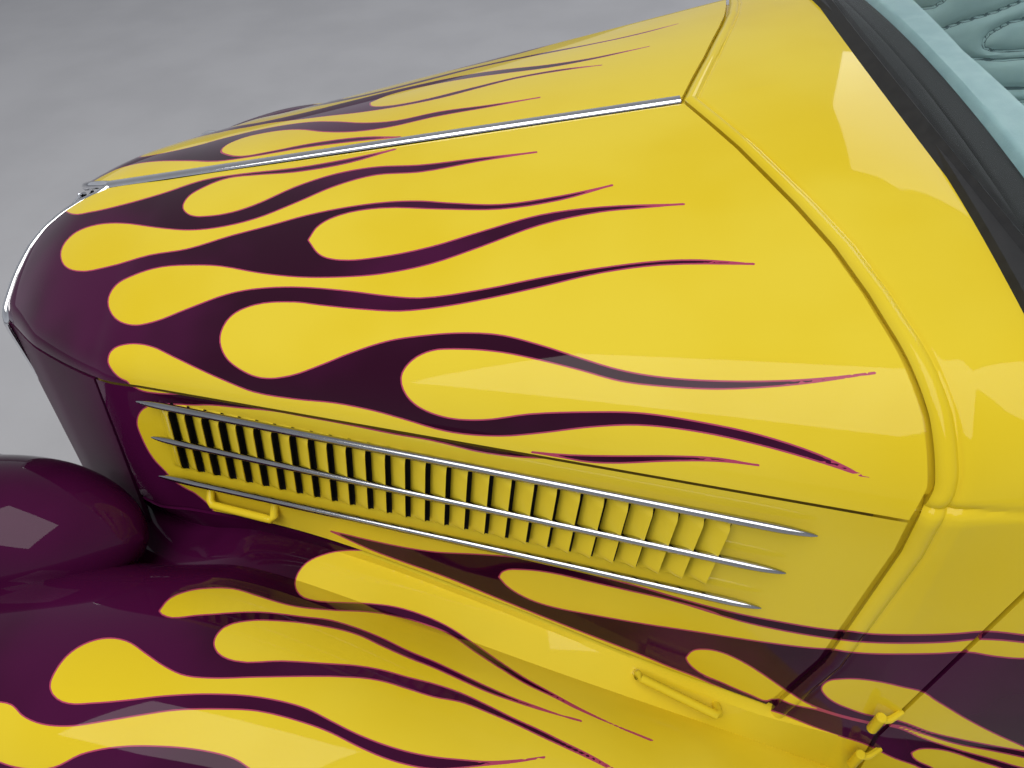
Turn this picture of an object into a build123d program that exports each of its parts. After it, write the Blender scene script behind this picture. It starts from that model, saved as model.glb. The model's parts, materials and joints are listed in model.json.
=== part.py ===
from build123d import *
import os
from math import atan, atan2, cos, hypot, radians, sin, sqrt

# An open two-seat hot rod of the mid-1930s kind: flamed butterfly hood with louvred sides,
# pontoon fenders, bullet headlamps, solid axles on transverse leaf springs.
# Millimetres. +X runs rearward, +Y to the car's right, +Z up; the ground is Z = 0
# and the origin is on the ground under the middle of the car's length.
# In every table and helper y counts outward from the centreline, on the left side of the car.

# Overall size
WHEELBASE = 2845
FRONT_OVERHANG = 570
REAR_OVERHANG = 835
LENGTH = FRONT_OVERHANG + WHEELBASE + REAR_OVERHANG
FRONT_AXLE_X = -LENGTH / 2 + FRONT_OVERHANG
REAR_AXLE_X = FRONT_AXLE_X + WHEELBASE
TAIL_X = LENGTH / 2
# The front end of the hood's centre strip, from which hood and grille are set out
NOSE_X = FRONT_AXLE_X - 100

# Sheet and wall thicknesses, and the gaps between panels
HOOD_SHEET = 6
FENDER_SHEET = 8
BODY_WALL = 50
PANEL_GAP = 6
SEAT_GAP = 0.3

# Hood
STRIP_LENGTH = 959
STRIP_HALF_WIDTH = 7
STRIP_DEPTH = 12
STRIP_PROUD = 5
HOOD_CORNER_RADIUS = 46
HOOD_CORNER_GROWTH = 0.52
HOOD_CORNER_WIDTH = 380
HOOD_CORNER_ANGLE = 72
HOOD_EDGE_SWEEP = 0.228
HOOD_EDGE_CURVE = 0.052 / 600
# Each row: x behind the nose point, z of the crown, y and z of the seam, outward slope of the side, rake
HOOD_ROWS = [
    (-150, 925, 196, 855, 0.08, 0.12),
    (-100, 952, 238, 868, 0.12, 0.10),
    (-20, 977, 302, 880, 0.17, 0.06),
    (128, 994, 384, 894, 0.22, 0.0),
    (200, 1003, 402.7, 898, 0.213, 0.0),
    (420, 1028, 459.5, 910.5, 0.19, 0.0),
    (780, 1071, 553, 931, 0.15, 0.0),
    (1160, 1116, 652, 953, 0.12, 0.0),
]
# The hinge rods of the hood: radius of the rod, of the rolled edge round it, length and places of the webs
HINGE_ROD_RADIUS = 2
HINGE_ROLL_RADIUS = 5
HINGE_SPAN = (210, 930)
HINGE_WEBS = (210, 570, 930)
WEB_LENGTH = 16
SEAM_HINGE_SPAN = (215, 1060)
SEAM_WEBS = (215, 640, 1060)
SEAM_HINGE_DROP = 9
HOOD_STATIONS = (-150, -125, -100, -65, -20, 45, 128, 240, 420, 580, 780, 970, 1160)
SIDE_STATIONS = (60, 128, 240, 420, 580, 780, 970, 1160)
HOOD_FOOT_Z = 430
SHELL_REAR_X = 112
SHELL_REAR_LEAN = 0.09
# The hood side's lower edge: x behind the nose point, z
HOOD_LOW_EDGE = [(60, 660), (300, 684), (460, 678), (690, 634), (880, 586), (1056, 552), (1200, 520)]
# The grille opening in plan: x behind the nose point, y
GRILLE_PLAN = [(8, 0), (-48, 22), (-84, 42), (-112, 66), (-130, 100), (-138, 148), (-140, 201)]
GRILLE_RAKE = 0.12
GRILLE_BAR_COUNT = 15
GRILLE_BAR_PITCH = 26
GRILLE_BAR_RADIUS = 4
GRILLE_HALF_WIDTH = 190
GRILLE_RAIL_HEIGHTS = (780, 620, 470)
GRILLE_DROP = 18
GRILLE_BEND = 0.45
TRIM_RADIUS = 6
# The trim below the last plan point: y beyond it, z
TRIM_FOOT = [(6, 780), (8, 700), (0, 600), (-16, 480), (-24, 425)]

# Louvres, bright strips and handles on the hood side
LOUVRE_COUNT = 28
LOUVRE_PITCH = 26.7
LOUVRE_FIRST = 230
LOUVRE_HEIGHT = 118
LOUVRE_SLOT = 10
LOUVRE_TILT = 0.12
SIDE_STRIP_RADIUS = 5
HANDLE_RADIUS = 6
HANDLE_STAND = 24
HANDLE_SINK = 4
# Each handle: x behind the nose point of its two feet, which stand this share of the way to the fender's valley
HANDLES = ((205, 365), (878, 985))
HANDLE_FOOT_SHARE = 0.4
# Each strip: x behind the nose point and z of its front and rear ends
SIDE_STRIPS = [(190, 879, 1040, 913), (190, 818, 1022, 844), (174, 743, 1008, 773)]

# Body from the cowl to the tail
BODY_CORNER_RADIUS = 150
BODY_CORNER_ANGLE = 78
# Each row: x, z of the crown, y and z of the shoulder, y and z of the lower edge
BODY_ROWS = [
    (-720, 1090, 598, 940, 690, 300),
    (-430, 1128, 655, 978, 741, 300),
    (0, 1150, 682, 1000, 752, 300),
    (480, 1140, 672, 1000, 748, 300),
    (900, 1062, 622, 935, 712, 300),
    (1400, 910, 520, 785, 620, 330),
    (1800, 730, 420, 615, 520, 360),
    (TAIL_X - 60, 560, 330, 450, 420, 400),
]
BODY_STATIONS = (-720, -575, -430, -215, 0, 240, 480, 690, 900, 1150, 1400, 1600, 1800, 1935, TAIL_X - 60)
FIREWALL_X = -515
FIREWALL_THICK = 10
DOOR_FRONT_TOP_X = -398
DOOR_FRONT_LOW_X = -476
DOOR_FRONT_TOP_Z = 978
DOOR_CORNER_Z = 541
DOOR_INNER_Y = 590
DOOR_HINGE_X = -484
DOOR_PIN_RADIUS = 4
HINGE_BARREL = 22
DOOR_REAR_X = 480
DOOR_LOW_Z = 350
DOOR_HINGE_STANDOFF = 14
DOOR_HINGE_RADIUS = 8
DOOR_HINGE_HEIGHTS = (500, 600)
COCKPIT_FRONT_X = -320
COCKPIT_REAR_X = 640
COCKPIT_HALF_WIDTH = 636
COCKPIT_CORNER = 90
DASH_X = -345
DASH_THICK = 20
DASH_LOW_Z = 880
BULKHEAD_X = 760
FLOOR_REAR_X = 780
DECK_FRONT_X = 900
DECK_REAR_X = 1880
DECK_HALF_WIDTH = 290
DECK_HINGE_Y = 200
DECK_HINGE_RADIUS = 7
DECK_HINGE_STANDOFF = 10
DECK_SHEET = 25
TAIL_WALL = 40

# Fenders. Each row: x from the axle, then y and z of the inner edge, the valley, the crown, the lip
FRONT_FENDER_ROWS = [
    (-FRONT_OVERHANG, 600, 405, 630, 420, 695, 440, 760, 405),
    (-500, 520, 390, 575, 440, 703, 570, 825, 400),
    (-350, 440, 440, 525, 490, 722, 685, 868, 480),
    (-120, 360, 560, 500, 585, 745, 758, 886, 600),
    (80, 438, 606, 520, 622, 757, 776, 890, 640),
    (220, 484, 664, 545, 664, 765, 770, 890, 620),
    (420, 535, 652, 595, 644, 772, 728, 888, 540),
    (680, 608, 598, 655, 582, 778, 632, 880, 440),
    (920, 680, 548, 700, 505, 756, 514, 872, 372),
    (1073, 706, 520, 716, 420, 756, 427, 868, 335),
]
REAR_FENDER_ROWS = [
    (-590, 735, 345, 764, 350, 812, 356, 868, 335),
    (-480, 700, 500, 746, 516, 806, 548, 874, 400),
    (-300, 640, 690, 712, 700, 800, 722, 880, 500),
    (-60, 585, 780, 680, 790, 790, 812, 886, 600),
    (200, 515, 755, 620, 762, 768, 778, 880, 590),
    (440, 450, 640, 560, 640, 742, 650, 858, 480),
    (660, 400, 470, 520, 460, 700, 470, 800, 390),
    (TAIL_X - REAR_AXLE_X, 370, 400, 500, 396, 650, 402, 740, 375),
]
FRONT_FENDER_STATIONS = (-FRONT_OVERHANG, -540, -500, -430, -350, -235, -120, 0, 80, 220, 420, 560, 680, 800,
                         920, 1073)
REAR_FENDER_STATIONS = (-590, -540, -480, -400, -300, -180, -60, 70, 200, 320, 440, 550, 660, 750,
                        TAIL_X - REAR_AXLE_X)
ARCH_RADIUS_REAR = 398
WHEELHOUSE_Y = 560
WHEELHOUSE_WALL = 12
RUNNING_BOARD_Z = 325
RUNNING_BOARD_THICK = 24
RUNNING_BOARD_INNER_Y = 758
RUNNING_BOARD_OUTER_Y = 876

# Wheels: x, tyre radius, tyre width, rim radius, y of the wheel's middle
FRONT_WHEEL = (FRONT_AXLE_X, 320, 185, 195, 712)
REAR_WHEEL = (REAR_AXLE_X, 360, 235, 205, 716)
SPINDLE_RADIUS = 20
FIT_CLEARANCE = 0.3
MOVE_CLEARANCE = 5
KINGPIN_Y = 590
KINGPIN_RADIUS = 12
STEERING_ARM = 150
TIE_ROD_Z = 232
TIE_ROD_RADIUS = 12

# Frame and running gear
RAIL_INNER_Y = 330
RAIL_WIDTH = 50
FLOOR_TOP_Z = BODY_ROWS[0][5] - SEAT_GAP
FLOOR_THICK = 14
TUNNEL_HALF_WIDTH = 130
TUNNEL_TOP_Z = 415
TUNNEL_WALL = 6
FRAME_FRONT_X = FRONT_AXLE_X - 430
FRAME_REAR_X = REAR_AXLE_X + 640
SPRING_TOP_Z = 380
REAR_SPRING_TOP_Z = 500
ENGINE_X0 = -1440
ENGINE_X1 = -790
ENGINE_LOW_Z = 300
GEARBOX_REAR_X = -300
DIFF_LENGTH = 190
SHAFT_RADIUS = 34
SHAFT_FRONT_Z = 290
EXHAUST_Y = 270
EXHAUST_Z = 150
KNUCKLE_PLATE_Y = 636
# The jack pads under the frame's rails: x of each, half length, half width, depth
JACK_PADS = (-900, 600)
JACK_PAD = (30, 20, 8)
REAR_BACKING_Y = 610
DRUM_GAP = 5
REAR_SPINDLE_END = REAR_WHEEL[4]
TIE_STUD_RADIUS = 8
OPEN_PIVOT_CLEARANCE = 1.5

# Seats
SEAT_X0 = 60
SEAT_X1 = 520
SEAT_HALF_WIDTH = 590
SEAT_LOW_Z = 430
SEAT_THICK = 150
SEAT_BACK_THICK = 110
SEAT_BACK_LEAN = 0.2
SEAT_TOP_Z = 985

# Lamps
LAMP_Y = 515
LAMP_Z = 698
LAMP_RADIUS = 122
LAMP_FRONT = -105
LAMP_TAIL = 160
LAMP_POST_X = -20
LAMP_POST_RADIUS = 24
TAIL_LAMP_Y = 660
TAIL_LAMP_Z = 540
TAIL_LAMP_RADIUS = 45

# Windshield
SHIELD_X = -434
SHIELD_Z = 1124
SHIELD_RAKE = 38
SHIELD_HEIGHT = 330
SHIELD_HALF_WIDTH = 530
SHIELD_TOP_HALF_WIDTH = 490
SHIELD_BOW = 45
SHIELD_FRAME = 30
SHIELD_CORNER = 60
SHIELD_SILL = 14
SHIELD_DEPTH = 22
GLASS_THICK = 6

# Steering column and wheel
COLUMN_Y = 360
COLUMN_LOW = (-540, 740)
COLUMN_TOP = (-30, 1010)
COLUMN_RADIUS = 24
COLUMN_PIN_RADIUS = 9
WHEEL_HUB_LENGTH = 40
STEERING_WHEEL_RADIUS = 195
STEERING_RIM_RADIUS = 13


def left(x, y, z):
    return Vector(x, -y, z)


def mirrored(shape):
    return mirror(shape, about=Plane.XZ)


def both_sides(half):
    return half + mirrored(half)


def box(x0, x1, y0, y1, z0, z1):
    """A block between two corners on the left side."""
    return Pos((x0 + x1) / 2, -(y0 + y1) / 2, (z0 + z1) / 2) * Box(x1 - x0, abs(y1 - y0), z1 - z0)


def wide_box(x0, x1, half, z0, z1):
    return box(x0, x1, -half, half, z0, z1)


def tube_x(x0, x1, y, z, radius):
    return Pos((x0 + x1) / 2, -y, z) * Rot(0, 90, 0) * Cylinder(radius, x1 - x0)


def tube_y(x, z, y0, y1, radius):
    return Pos(x, -(y0 + y1) / 2, z) * Rot(90, 0, 0) * Cylinder(radius, abs(y1 - y0))


def tube_z(x, y, z0, z1, radius):
    return Pos(x, -y, (z0 + z1) / 2) * Cylinder(radius, z1 - z0)


def rod(start, end, radius):
    """A round rod between two points given as x, y, z."""
    a = left(*start)
    way = left(*end) - a
    return Solid.make_cylinder(radius, way.length, Plane(origin=a, z_dir=way))


def prism(points, way):
    face = Face(Wire.make_polygon(points, close=True))
    return Solid.extrude(face, way)


def prism_x(points, x0, x1):
    """An outline of y and z pairs given thickness along the car."""
    return prism([left(x0, y, z) for y, z in points], Vector(x1 - x0, 0, 0))


def prism_y(points, y0, y1):
    """An outline of x and z pairs given thickness between two y values on the left."""
    return prism([left(x, y0, z) for x, z in points], Vector(0, -(y1 - y0), 0))


def prism_z(points, z0, z1):
    """An outline of x and y pairs given thickness in height."""
    return prism([left(x, y, z0) for x, y in points], Vector(0, 0, z1 - z0))


def largest(shape):
    return max(shape.solids(), key=lambda solid: solid.volume)


def topmost(shape):
    return max(shape.solids(), key=lambda solid: solid.center().Z)


# Body and hood sections

def row_value(rows, x, column):
    """A column of a table at x, on a smooth curve through its rows."""
    last = len(rows) - 2
    index = min(max(sum(x > row[0] for row in rows) - 1, 0), last)
    a, b = rows[index], rows[index + 1]

    def slope(k):
        before, after = rows[max(k - 1, 0)], rows[min(k + 1, last + 1)]
        return (after[column] - before[column]) / (after[0] - before[0])

    span = b[0] - a[0]
    t = (x - a[0]) / span
    rise = b[column] - a[column]
    out, into = slope(index) * span, slope(index + 1) * span
    return a[column] + t * (out + t * (3 * rise - 2 * out - into + t * (out + into - 2 * rise)))


def row_at(rows, x):
    return [x] + [row_value(rows, x, column) for column in range(1, len(rows[0]))]


def crown_points(z_top, y_end, z_end, radius, angle, inset):
    """Five points of a flat arc and a corner arc from the centreline to the shoulder, moved in by inset."""
    b = radians(angle)
    run = y_end - radius * sin(b)
    fall = z_top - z_end + radius * cos(b) - radius
    turn = 2 * atan(fall / run)
    offset = run / sin(turn)
    flat = offset + radius

    def flat_point(a):
        return (flat - inset) * sin(a), z_top - flat + (flat - inset) * cos(a)

    def corner_point(a):
        return (run + (radius - inset) * sin(a),
                z_top - flat + offset * cos(turn) + (radius - inset) * cos(a))

    return [flat_point(0), flat_point(turn / 2), flat_point(turn), corner_point((turn + b) / 2), corner_point(b)]


def ring(place, *paths):
    """A closed wire through paths of points: three points in a path bend as an arc, two run straight."""
    edges = []
    for path in paths:
        points = [place(point) for point in path]
        edges.append(ThreePointArc(*points) if len(points) == 3 else Line(*points))
    return Wire(edges)


def ruled(sections):
    return Solid.make_loft(sections, ruled=True)


def hood_row(x, inset):
    """The place function, crown points and foot of the hood's section at x behind the nose point."""
    _, z_crown, y_seam, z_seam, slope, rake = row_at(HOOD_ROWS, x)
    radius = HOOD_CORNER_RADIUS + HOOD_CORNER_GROWTH * max(y_seam - HOOD_CORNER_WIDTH, 0)
    points = crown_points(z_crown, y_seam, z_seam, radius, HOOD_CORNER_ANGLE, inset)

    def place(point):
        return left(NOSE_X + x + rake * (point[1] - z_seam), *point)

    def side(z):
        return y_seam + slope * (z_seam - z) - inset, z

    return place, points, side


def hood_top_blank():
    sections = []
    for x in HOOD_STATIONS:
        place, (a, b, c, d, e), _ = hood_row(x, 0)
        _, (f, g, h, i, j), _ = hood_row(x, HOOD_SHEET)
        sections.append(ring(place, (a, b, c), (c, d, e), (e, j), (j, i, h), (h, g, f), (f, a)))
    return ruled(sections)


def hood_side_strip(stations, z_low, gap):
    """The hood's side below the seam, down to z_low."""
    sections = []
    for x in stations:
        place, (*_, e), side = hood_row(x, 0)
        _, _, inner = hood_row(x, HOOD_SHEET)
        top = e[1] - gap
        sections.append(ring(place, (side(top), side(z_low)), (side(z_low), inner(z_low)),
                             (inner(z_low), inner(top)), (inner(top), side(top))))
    return ruled(sections)


def body_row(x, inset):
    _, z_crown, y_end, z_end, y_low, z_low = row_at(BODY_ROWS, x)
    radius = min(BODY_CORNER_RADIUS, z_crown - z_end)
    points = crown_points(z_crown, y_end, z_end, radius, BODY_CORNER_ANGLE, inset)
    return points, (y_low - inset, z_low), z_low


def body_block(inset):
    sections = []
    for x in BODY_STATIONS:
        (a, b, c, d, e), foot, z_low = body_row(x, inset)
        low = (0, z_low)
        sections.append(ring(lambda p, x=x: left(x, *p), (a, b, c), (c, d, e), (e, foot), (foot, low), (low, a)))
    return ruled(sections)


def body_shell():
    sections = []
    for x in BODY_STATIONS:
        (a, b, c, d, e), foot, _ = body_row(x, 0)
        (f, g, h, i, j), inner_foot, _ = body_row(x, BODY_WALL)
        sections.append(ring(lambda p, x=x: left(x, *p), (a, b, c), (c, d, e), (e, foot), (foot, inner_foot),
                             (inner_foot, j), (j, i, h), (h, g, f), (f, a)))
    return ruled(sections)


def hood_side_y(x, z):
    """y of the hood's side at x behind the nose point."""
    _, _, y_seam, z_seam, slope, _ = row_at(HOOD_ROWS, x)
    return y_seam + slope * (z_seam - z)


def body_side_y(x, z):
    _, _, y_end, z_end, y_low, z_low = row_at(BODY_ROWS, x)
    return y_end + (y_low - y_end) * (z_end - z) / (z_end - z_low)


def behind_hood_edge(shift):
    """Everything behind the hood's swept rear edge, moved back by shift."""
    edge = []
    for y in range(0, 801, 160):
        edge.append((NOSE_X + STRIP_LENGTH + HOOD_EDGE_SWEEP * y + HOOD_EDGE_CURVE * y * y + shift, y))
    return prism_z(edge + [(TAIL_X + 100, 800), (TAIL_X + 100, 0)], 200, 1300)


def grille_cut(grow):
    """The space in front of the grille's trim: its plan outline swept down along the rake."""
    way = Vector(-GRILLE_RAKE * 600, 0, -600)
    ahead = Vector(GRILLE_RAKE * 130, 0, 130)
    outline = [left(NOSE_X + x + grow, y, 850) for x, y in GRILLE_PLAN]
    side = left(NOSE_X - 400, GRILLE_PLAN[-1][1] + grow, 850)
    outline[-1] = left(NOSE_X + GRILLE_PLAN[-1][0] + grow, GRILLE_PLAN[-1][1] + grow, 850)
    points = [point + ahead for point in outline + [side, left(NOSE_X - 400, 0, 850)]]
    return prism(points, way - ahead)


# Hood and nose

def crown_hinge(x):
    """The hood's centre hinge line, left side, at x behind the nose point."""
    slope = (HOOD_ROWS[-1][1] - HOOD_ROWS[3][1]) / (HOOD_ROWS[-1][0] - HOOD_ROWS[3][0])
    y = STRIP_HALF_WIDTH + HINGE_ROLL_RADIUS + 4
    return NOSE_X + x, y, HOOD_ROWS[3][1] + slope * (x - HOOD_ROWS[3][0]) - HOOD_SHEET / 2


def seam_hinge(x):
    """The hinge line between the hood's top and side at x behind the nose point."""
    x0, _, y0, z0, _, _ = HOOD_ROWS[4]
    x1, _, y1, z1, _, _ = HOOD_ROWS[-1]
    share = (x - x0) / (x1 - x0)
    y = y0 + share * (y1 - y0) - HOOD_SHEET - HINGE_ROLL_RADIUS + 2
    return NOSE_X + x, y, z0 + share * (z1 - z0) - SEAM_HINGE_DROP


def rolled_edge(line, span, webs):
    """A rolled edge along a hinge line, bored for its rod and cut away at the webs."""
    roll = rod(line(span[0]), line(span[1]), HINGE_ROLL_RADIUS)
    for x in webs:
        roll -= web_space(line, x)
    return roll


def web_space(line, x):
    px, py, pz = line(x)
    half = WEB_LENGTH / 2 + MOVE_CLEARANCE
    return box(px - half, px + half, py - 20, py + 9, pz - 12, pz + 12)


def hood_top_left():
    top = hood_top_blank() - behind_hood_edge(-PANEL_GAP)
    top -= grille_cut(PANEL_GAP + 4)
    line_y = crown_hinge(0)[1]
    top -= wide_box(NOSE_X - 200, NOSE_X + 1300, line_y, 700, 1300)
    for x in HINGE_WEBS:
        top -= web_space(crown_hinge, x)
    top += rolled_edge(crown_hinge, HINGE_SPAN, HINGE_WEBS)
    top -= rod(crown_hinge(HINGE_SPAN[0] - 50), crown_hinge(HINGE_SPAN[1] + 50), HINGE_ROD_RADIUS + FIT_CLEARANCE)
    for x in SEAM_WEBS:
        px, py, pz = seam_hinge(x)
        half = WEB_LENGTH / 2
        top += box(px - half, px + half, py - 2, py + HINGE_ROLL_RADIUS, pz - 1, pz + SEAM_HINGE_DROP + 3)
    top += rod(seam_hinge(SEAM_HINGE_SPAN[0]), seam_hinge(SEAM_HINGE_SPAN[1]), HINGE_ROD_RADIUS)
    return largest(top)


def hood_side_left():
    low = [(NOSE_X + x, z) for x, z in HOOD_LOW_EDGE]
    front = NOSE_X + SHELL_REAR_X + PANEL_GAP
    lean = SHELL_REAR_LEAN * (HOOD_ROWS[3][3] - low[0][1])
    outline = [(front - lean, low[0][1]), *low[1:], (low[-1][0], 1100), (front, 1100), (front, HOOD_ROWS[3][3])]
    side = hood_side_strip(SIDE_STATIONS, HOOD_FOOT_Z, PANEL_GAP)
    side = side & prism_y(outline, 0, 800)
    side = largest(side - behind_hood_edge(-PANEL_GAP))
    for x in SEAM_WEBS:
        side -= web_space(seam_hinge, x)
    side += rolled_edge(seam_hinge, SEAM_HINGE_SPAN, SEAM_WEBS)
    side -= rod(seam_hinge(SEAM_HINGE_SPAN[0] - 50), seam_hinge(SEAM_HINGE_SPAN[1] + 50),
                HINGE_ROD_RADIUS + FIT_CLEARANCE)
    slots = []
    half = LOUVRE_HEIGHT / 2
    for index in range(LOUVRE_COUNT):
        x = LOUVRE_FIRST + LOUVRE_PITCH * index
        z_mid = louvre_middle_z(x)
        low_x = NOSE_X + x - LOUVRE_TILT * half
        top_x = NOSE_X + x + LOUVRE_TILT * half
        outline = [(low_x, z_mid - half), (low_x + LOUVRE_SLOT, z_mid - half),
                   (top_x + LOUVRE_SLOT, z_mid + half), (top_x, z_mid + half)]
        slots.append(prism_y(outline, 300, 760))
    return largest(side - slots)


def apron_handle(x0, x1):
    """A bent rod handle on the fender's inner slope, under the edge of the hood's side."""
    ends = []
    for x in (x0, x1):
        _, y_inner, z_inner, y_valley, z_valley, *_ = row_at(FRONT_FENDER_ROWS, NOSE_X + x - FRONT_AXLE_X)
        y = y_inner + HANDLE_FOOT_SHARE * (y_valley - y_inner)
        z = z_inner + HANDLE_FOOT_SHARE * (z_valley - z_inner)
        ends.append(((NOSE_X + x, y - HANDLE_SINK, z), (NOSE_X + x, y + HANDLE_STAND, z)))
    (a, b), (d, c) = ends
    corners = Pos(*left(*b)) * Sphere(HANDLE_RADIUS) + Pos(*left(*c)) * Sphere(HANDLE_RADIUS)
    return rod(a, b, HANDLE_RADIUS) + rod(b, c, HANDLE_RADIUS) + rod(c, d, HANDLE_RADIUS) + corners


def louvre_middle_z(x):
    x0, z0, x1, z1 = SIDE_STRIPS[1]
    return z0 + (z1 - z0) * (x - x0) / (x1 - x0)


def side_strips_left():
    strips = []
    wall = hood_side_strip(SIDE_STATIONS, HOOD_FOOT_Z, PANEL_GAP)
    for x0, z0, x1, z1 in SIDE_STRIPS:
        stand = SIDE_STRIP_RADIUS - 1
        a = (NOSE_X + x0, hood_side_y(x0, z0) + stand, z0)
        middle = (x0 + x1) / 2
        z_middle = (z0 + z1) / 2
        b = (NOSE_X + middle, hood_side_y(middle, z_middle) + stand, z_middle)
        c = (NOSE_X + x1, hood_side_y(x1, z1) + stand, z1)
        strip = rod(a, b, SIDE_STRIP_RADIUS) + rod(b, c, SIDE_STRIP_RADIUS)
        strip += Pos(*left(*b)) * Sphere(SIDE_STRIP_RADIUS)
        strips.append(largest(strip - wall))
    return Compound(strips)


def hood_strip():
    """The bright centre strip with the two hinge rods of the hood tops."""
    _, _, z0 = crown_hinge(0)
    _, _, z1 = crown_hinge(STRIP_LENGTH)
    lift = HOOD_SHEET / 2 - STRIP_DEPTH / 2 + STRIP_PROUD
    way = left(STRIP_LENGTH, 0, z1 - z0) * (1 - PANEL_GAP / STRIP_LENGTH)
    plane = Plane(origin=left(NOSE_X, 0, z0 + lift), x_dir=(0, 1, 0), z_dir=way)
    strip = Solid.extrude(plane * Face.make_rect(2 * STRIP_HALF_WIDTH, STRIP_DEPTH), way)
    hinge = rod(crown_hinge(HINGE_SPAN[0]), crown_hinge(HINGE_SPAN[1]), HINGE_ROD_RADIUS)
    for x in HINGE_WEBS:
        px, py, pz = crown_hinge(x)
        half = WEB_LENGTH / 2
        hinge += box(px - half, px + half, 0, py + 2, pz - 3, pz + 3)
    return strip + both_sides(hinge)


def grille_shell():
    stations = [x for x in HOOD_STATIONS if x < SHELL_REAR_X] + [SHELL_REAR_X]
    shell = hood_side_strip(stations, HOOD_FOOT_Z, PANEL_GAP)
    front = NOSE_X + SHELL_REAR_X
    seam = HOOD_ROWS[3][3]
    behind = [(front, 1200), (front, seam), (front - SHELL_REAR_LEAN * (seam - HOOD_FOOT_Z), HOOD_FOOT_Z),
              (front - SHELL_REAR_LEAN * (seam - HOOD_FOOT_Z), 300), (front + 200, 300), (front + 200, 1200)]
    shell -= prism_y(behind, 0, 800)
    shell = largest(shell - grille_cut(0))
    return shell + mirrored(shell)


def grille_face_x(y):
    """x behind the nose point where the grille's upright part starts at y."""
    return -128 - 40 * (1 - abs(y) / GRILLE_HALF_WIDTH)


def grille_plan_x(y):
    for (x0, y0), (x1, y1) in zip(GRILLE_PLAN, GRILLE_PLAN[1:]):
        if y <= y1:
            return x0 + (x1 - x0) * (y - y0) / (y1 - y0)


def grille_bars():
    bars = None
    for index in range(GRILLE_BAR_COUNT):
        y = GRILLE_BAR_PITCH * (index - (GRILLE_BAR_COUNT - 1) / 2)
        x = grille_face_x(y)
        top_x = max(grille_plan_x(abs(y)) - TRIM_RADIUS, x)
        top_z = crown_z_at(top_x, abs(y)) - GRILLE_DROP
        top = (NOSE_X + top_x, y, top_z)
        knee = (NOSE_X + x, y, top_z - GRILLE_BEND * (top_x - x) - GRILLE_DROP)
        foot = (NOSE_X + x - GRILLE_RAKE * (knee[2] - HOOD_FOOT_Z), y, HOOD_FOOT_Z)
        bar = rod(knee, foot, GRILLE_BAR_RADIUS) + Pos(*left(*knee)) * Sphere(GRILLE_BAR_RADIUS)
        bar += rod(top, knee, GRILLE_BAR_RADIUS)
        bars = bar if bars is None else bars + bar
    for z in GRILLE_RAIL_HEIGHTS:
        rake = GRILLE_RAKE * (GRILLE_RAIL_HEIGHTS[0] - z)
        side = grille_face_x(GRILLE_HALF_WIDTH)
        middle = grille_face_x(0)
        a = (NOSE_X + side - 15 - rake, GRILLE_HALF_WIDTH, z)
        b = (NOSE_X + middle - 15 - rake, 0, z)
        rail = rod(a, b, GRILLE_BAR_RADIUS + 2)
        bars += rail + mirrored(rail)
    return largest(bars - wide_box(NOSE_X - 400, NOSE_X + 100, 400, 300, HOOD_FOOT_Z) - grille_trim())


def grille_trim():
    """The bright moulding round the grille, from the strip's front end down to the shell's foot."""
    points = []
    for x, y in GRILLE_PLAN:
        points.append((NOSE_X + x - TRIM_RADIUS, y, crown_z_at(x, y) - 2))
    _, y_end = GRILLE_PLAN[-1]
    for y_shift, z in TRIM_FOOT:
        points.append((NOSE_X + GRILLE_PLAN[-1][0] - GRILLE_RAKE * (850 - z) - TRIM_RADIUS, y_end + y_shift, z))
    half = None
    for a, b in zip(points, points[1:]):
        piece = rod(a, b, TRIM_RADIUS) + Pos(*left(*b)) * Sphere(TRIM_RADIUS)
        half = piece if half is None else half + piece
    half = half - wide_box(NOSE_X - 400, NOSE_X + 400, 400, 300, HOOD_FOOT_Z)
    return both_sides(half + Pos(*left(*points[0])) * Sphere(TRIM_RADIUS))


def crown_z_at(x, y):
    """z of the hood's crown at x behind the nose point and y out."""
    _, z_crown, y_seam, z_seam, _, _ = row_at(HOOD_ROWS, max(x, HOOD_ROWS[0][0]))
    share = min(y / y_seam, 1)
    return z_crown - (z_crown - z_seam) * (1 - sqrt(1 - share ** 2.4))


# Body

def body_half():
    tail = body_block(0) & wide_box(TAIL_X - 60 - TAIL_WALL, TAIL_X, 600, 300, 900)
    return body_shell() + tail


def door_outline(grow):
    top = 1250
    run = (DOOR_FRONT_TOP_X - DOOR_FRONT_LOW_X) / (DOOR_FRONT_TOP_Z - DOOR_CORNER_Z)
    return [
        (DOOR_FRONT_LOW_X + run * (top - DOOR_CORNER_Z) - grow, top),
        (DOOR_FRONT_LOW_X - grow, DOOR_CORNER_Z),
        (DOOR_FRONT_LOW_X - grow, DOOR_LOW_Z - grow),
        (DOOR_REAR_X + grow, DOOR_LOW_Z - grow),
        (DOOR_REAR_X + grow, top),
    ]


def door_cut(grow):
    return prism_y(door_outline(grow), DOOR_INNER_Y - grow, 900)


def cockpit_cut():
    front, rear, half, corner = COCKPIT_FRONT_X, COCKPIT_REAR_X, COCKPIT_HALF_WIDTH, COCKPIT_CORNER
    outline = [(front, 0), (front + corner / 4, half - 2 * corner), (front + corner, half - corner / 4),
               (front + 3 * corner, half), (rear - 2 * corner, half), (rear - corner / 4, half - corner),
               (rear, half - 3 * corner), (rear, 0)]
    return prism_z(outline, 850, 1300)


def column_line(share):
    x = COLUMN_LOW[0] + share * (COLUMN_TOP[0] - COLUMN_LOW[0])
    z = COLUMN_LOW[1] + share * (COLUMN_TOP[1] - COLUMN_LOW[1])
    return x, COLUMN_Y, z


def hinge_line(z):
    """The left door's hinge line: a point at height z."""
    return DOOR_HINGE_X, body_side_y(DOOR_HINGE_X, z) + DOOR_HINGE_STANDOFF, z


def knuckle(z, low, high, radius):
    """A piece of the door hinge's barrel between two heights about z."""
    return rod(hinge_line(z + low), hinge_line(z + high), radius)


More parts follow.
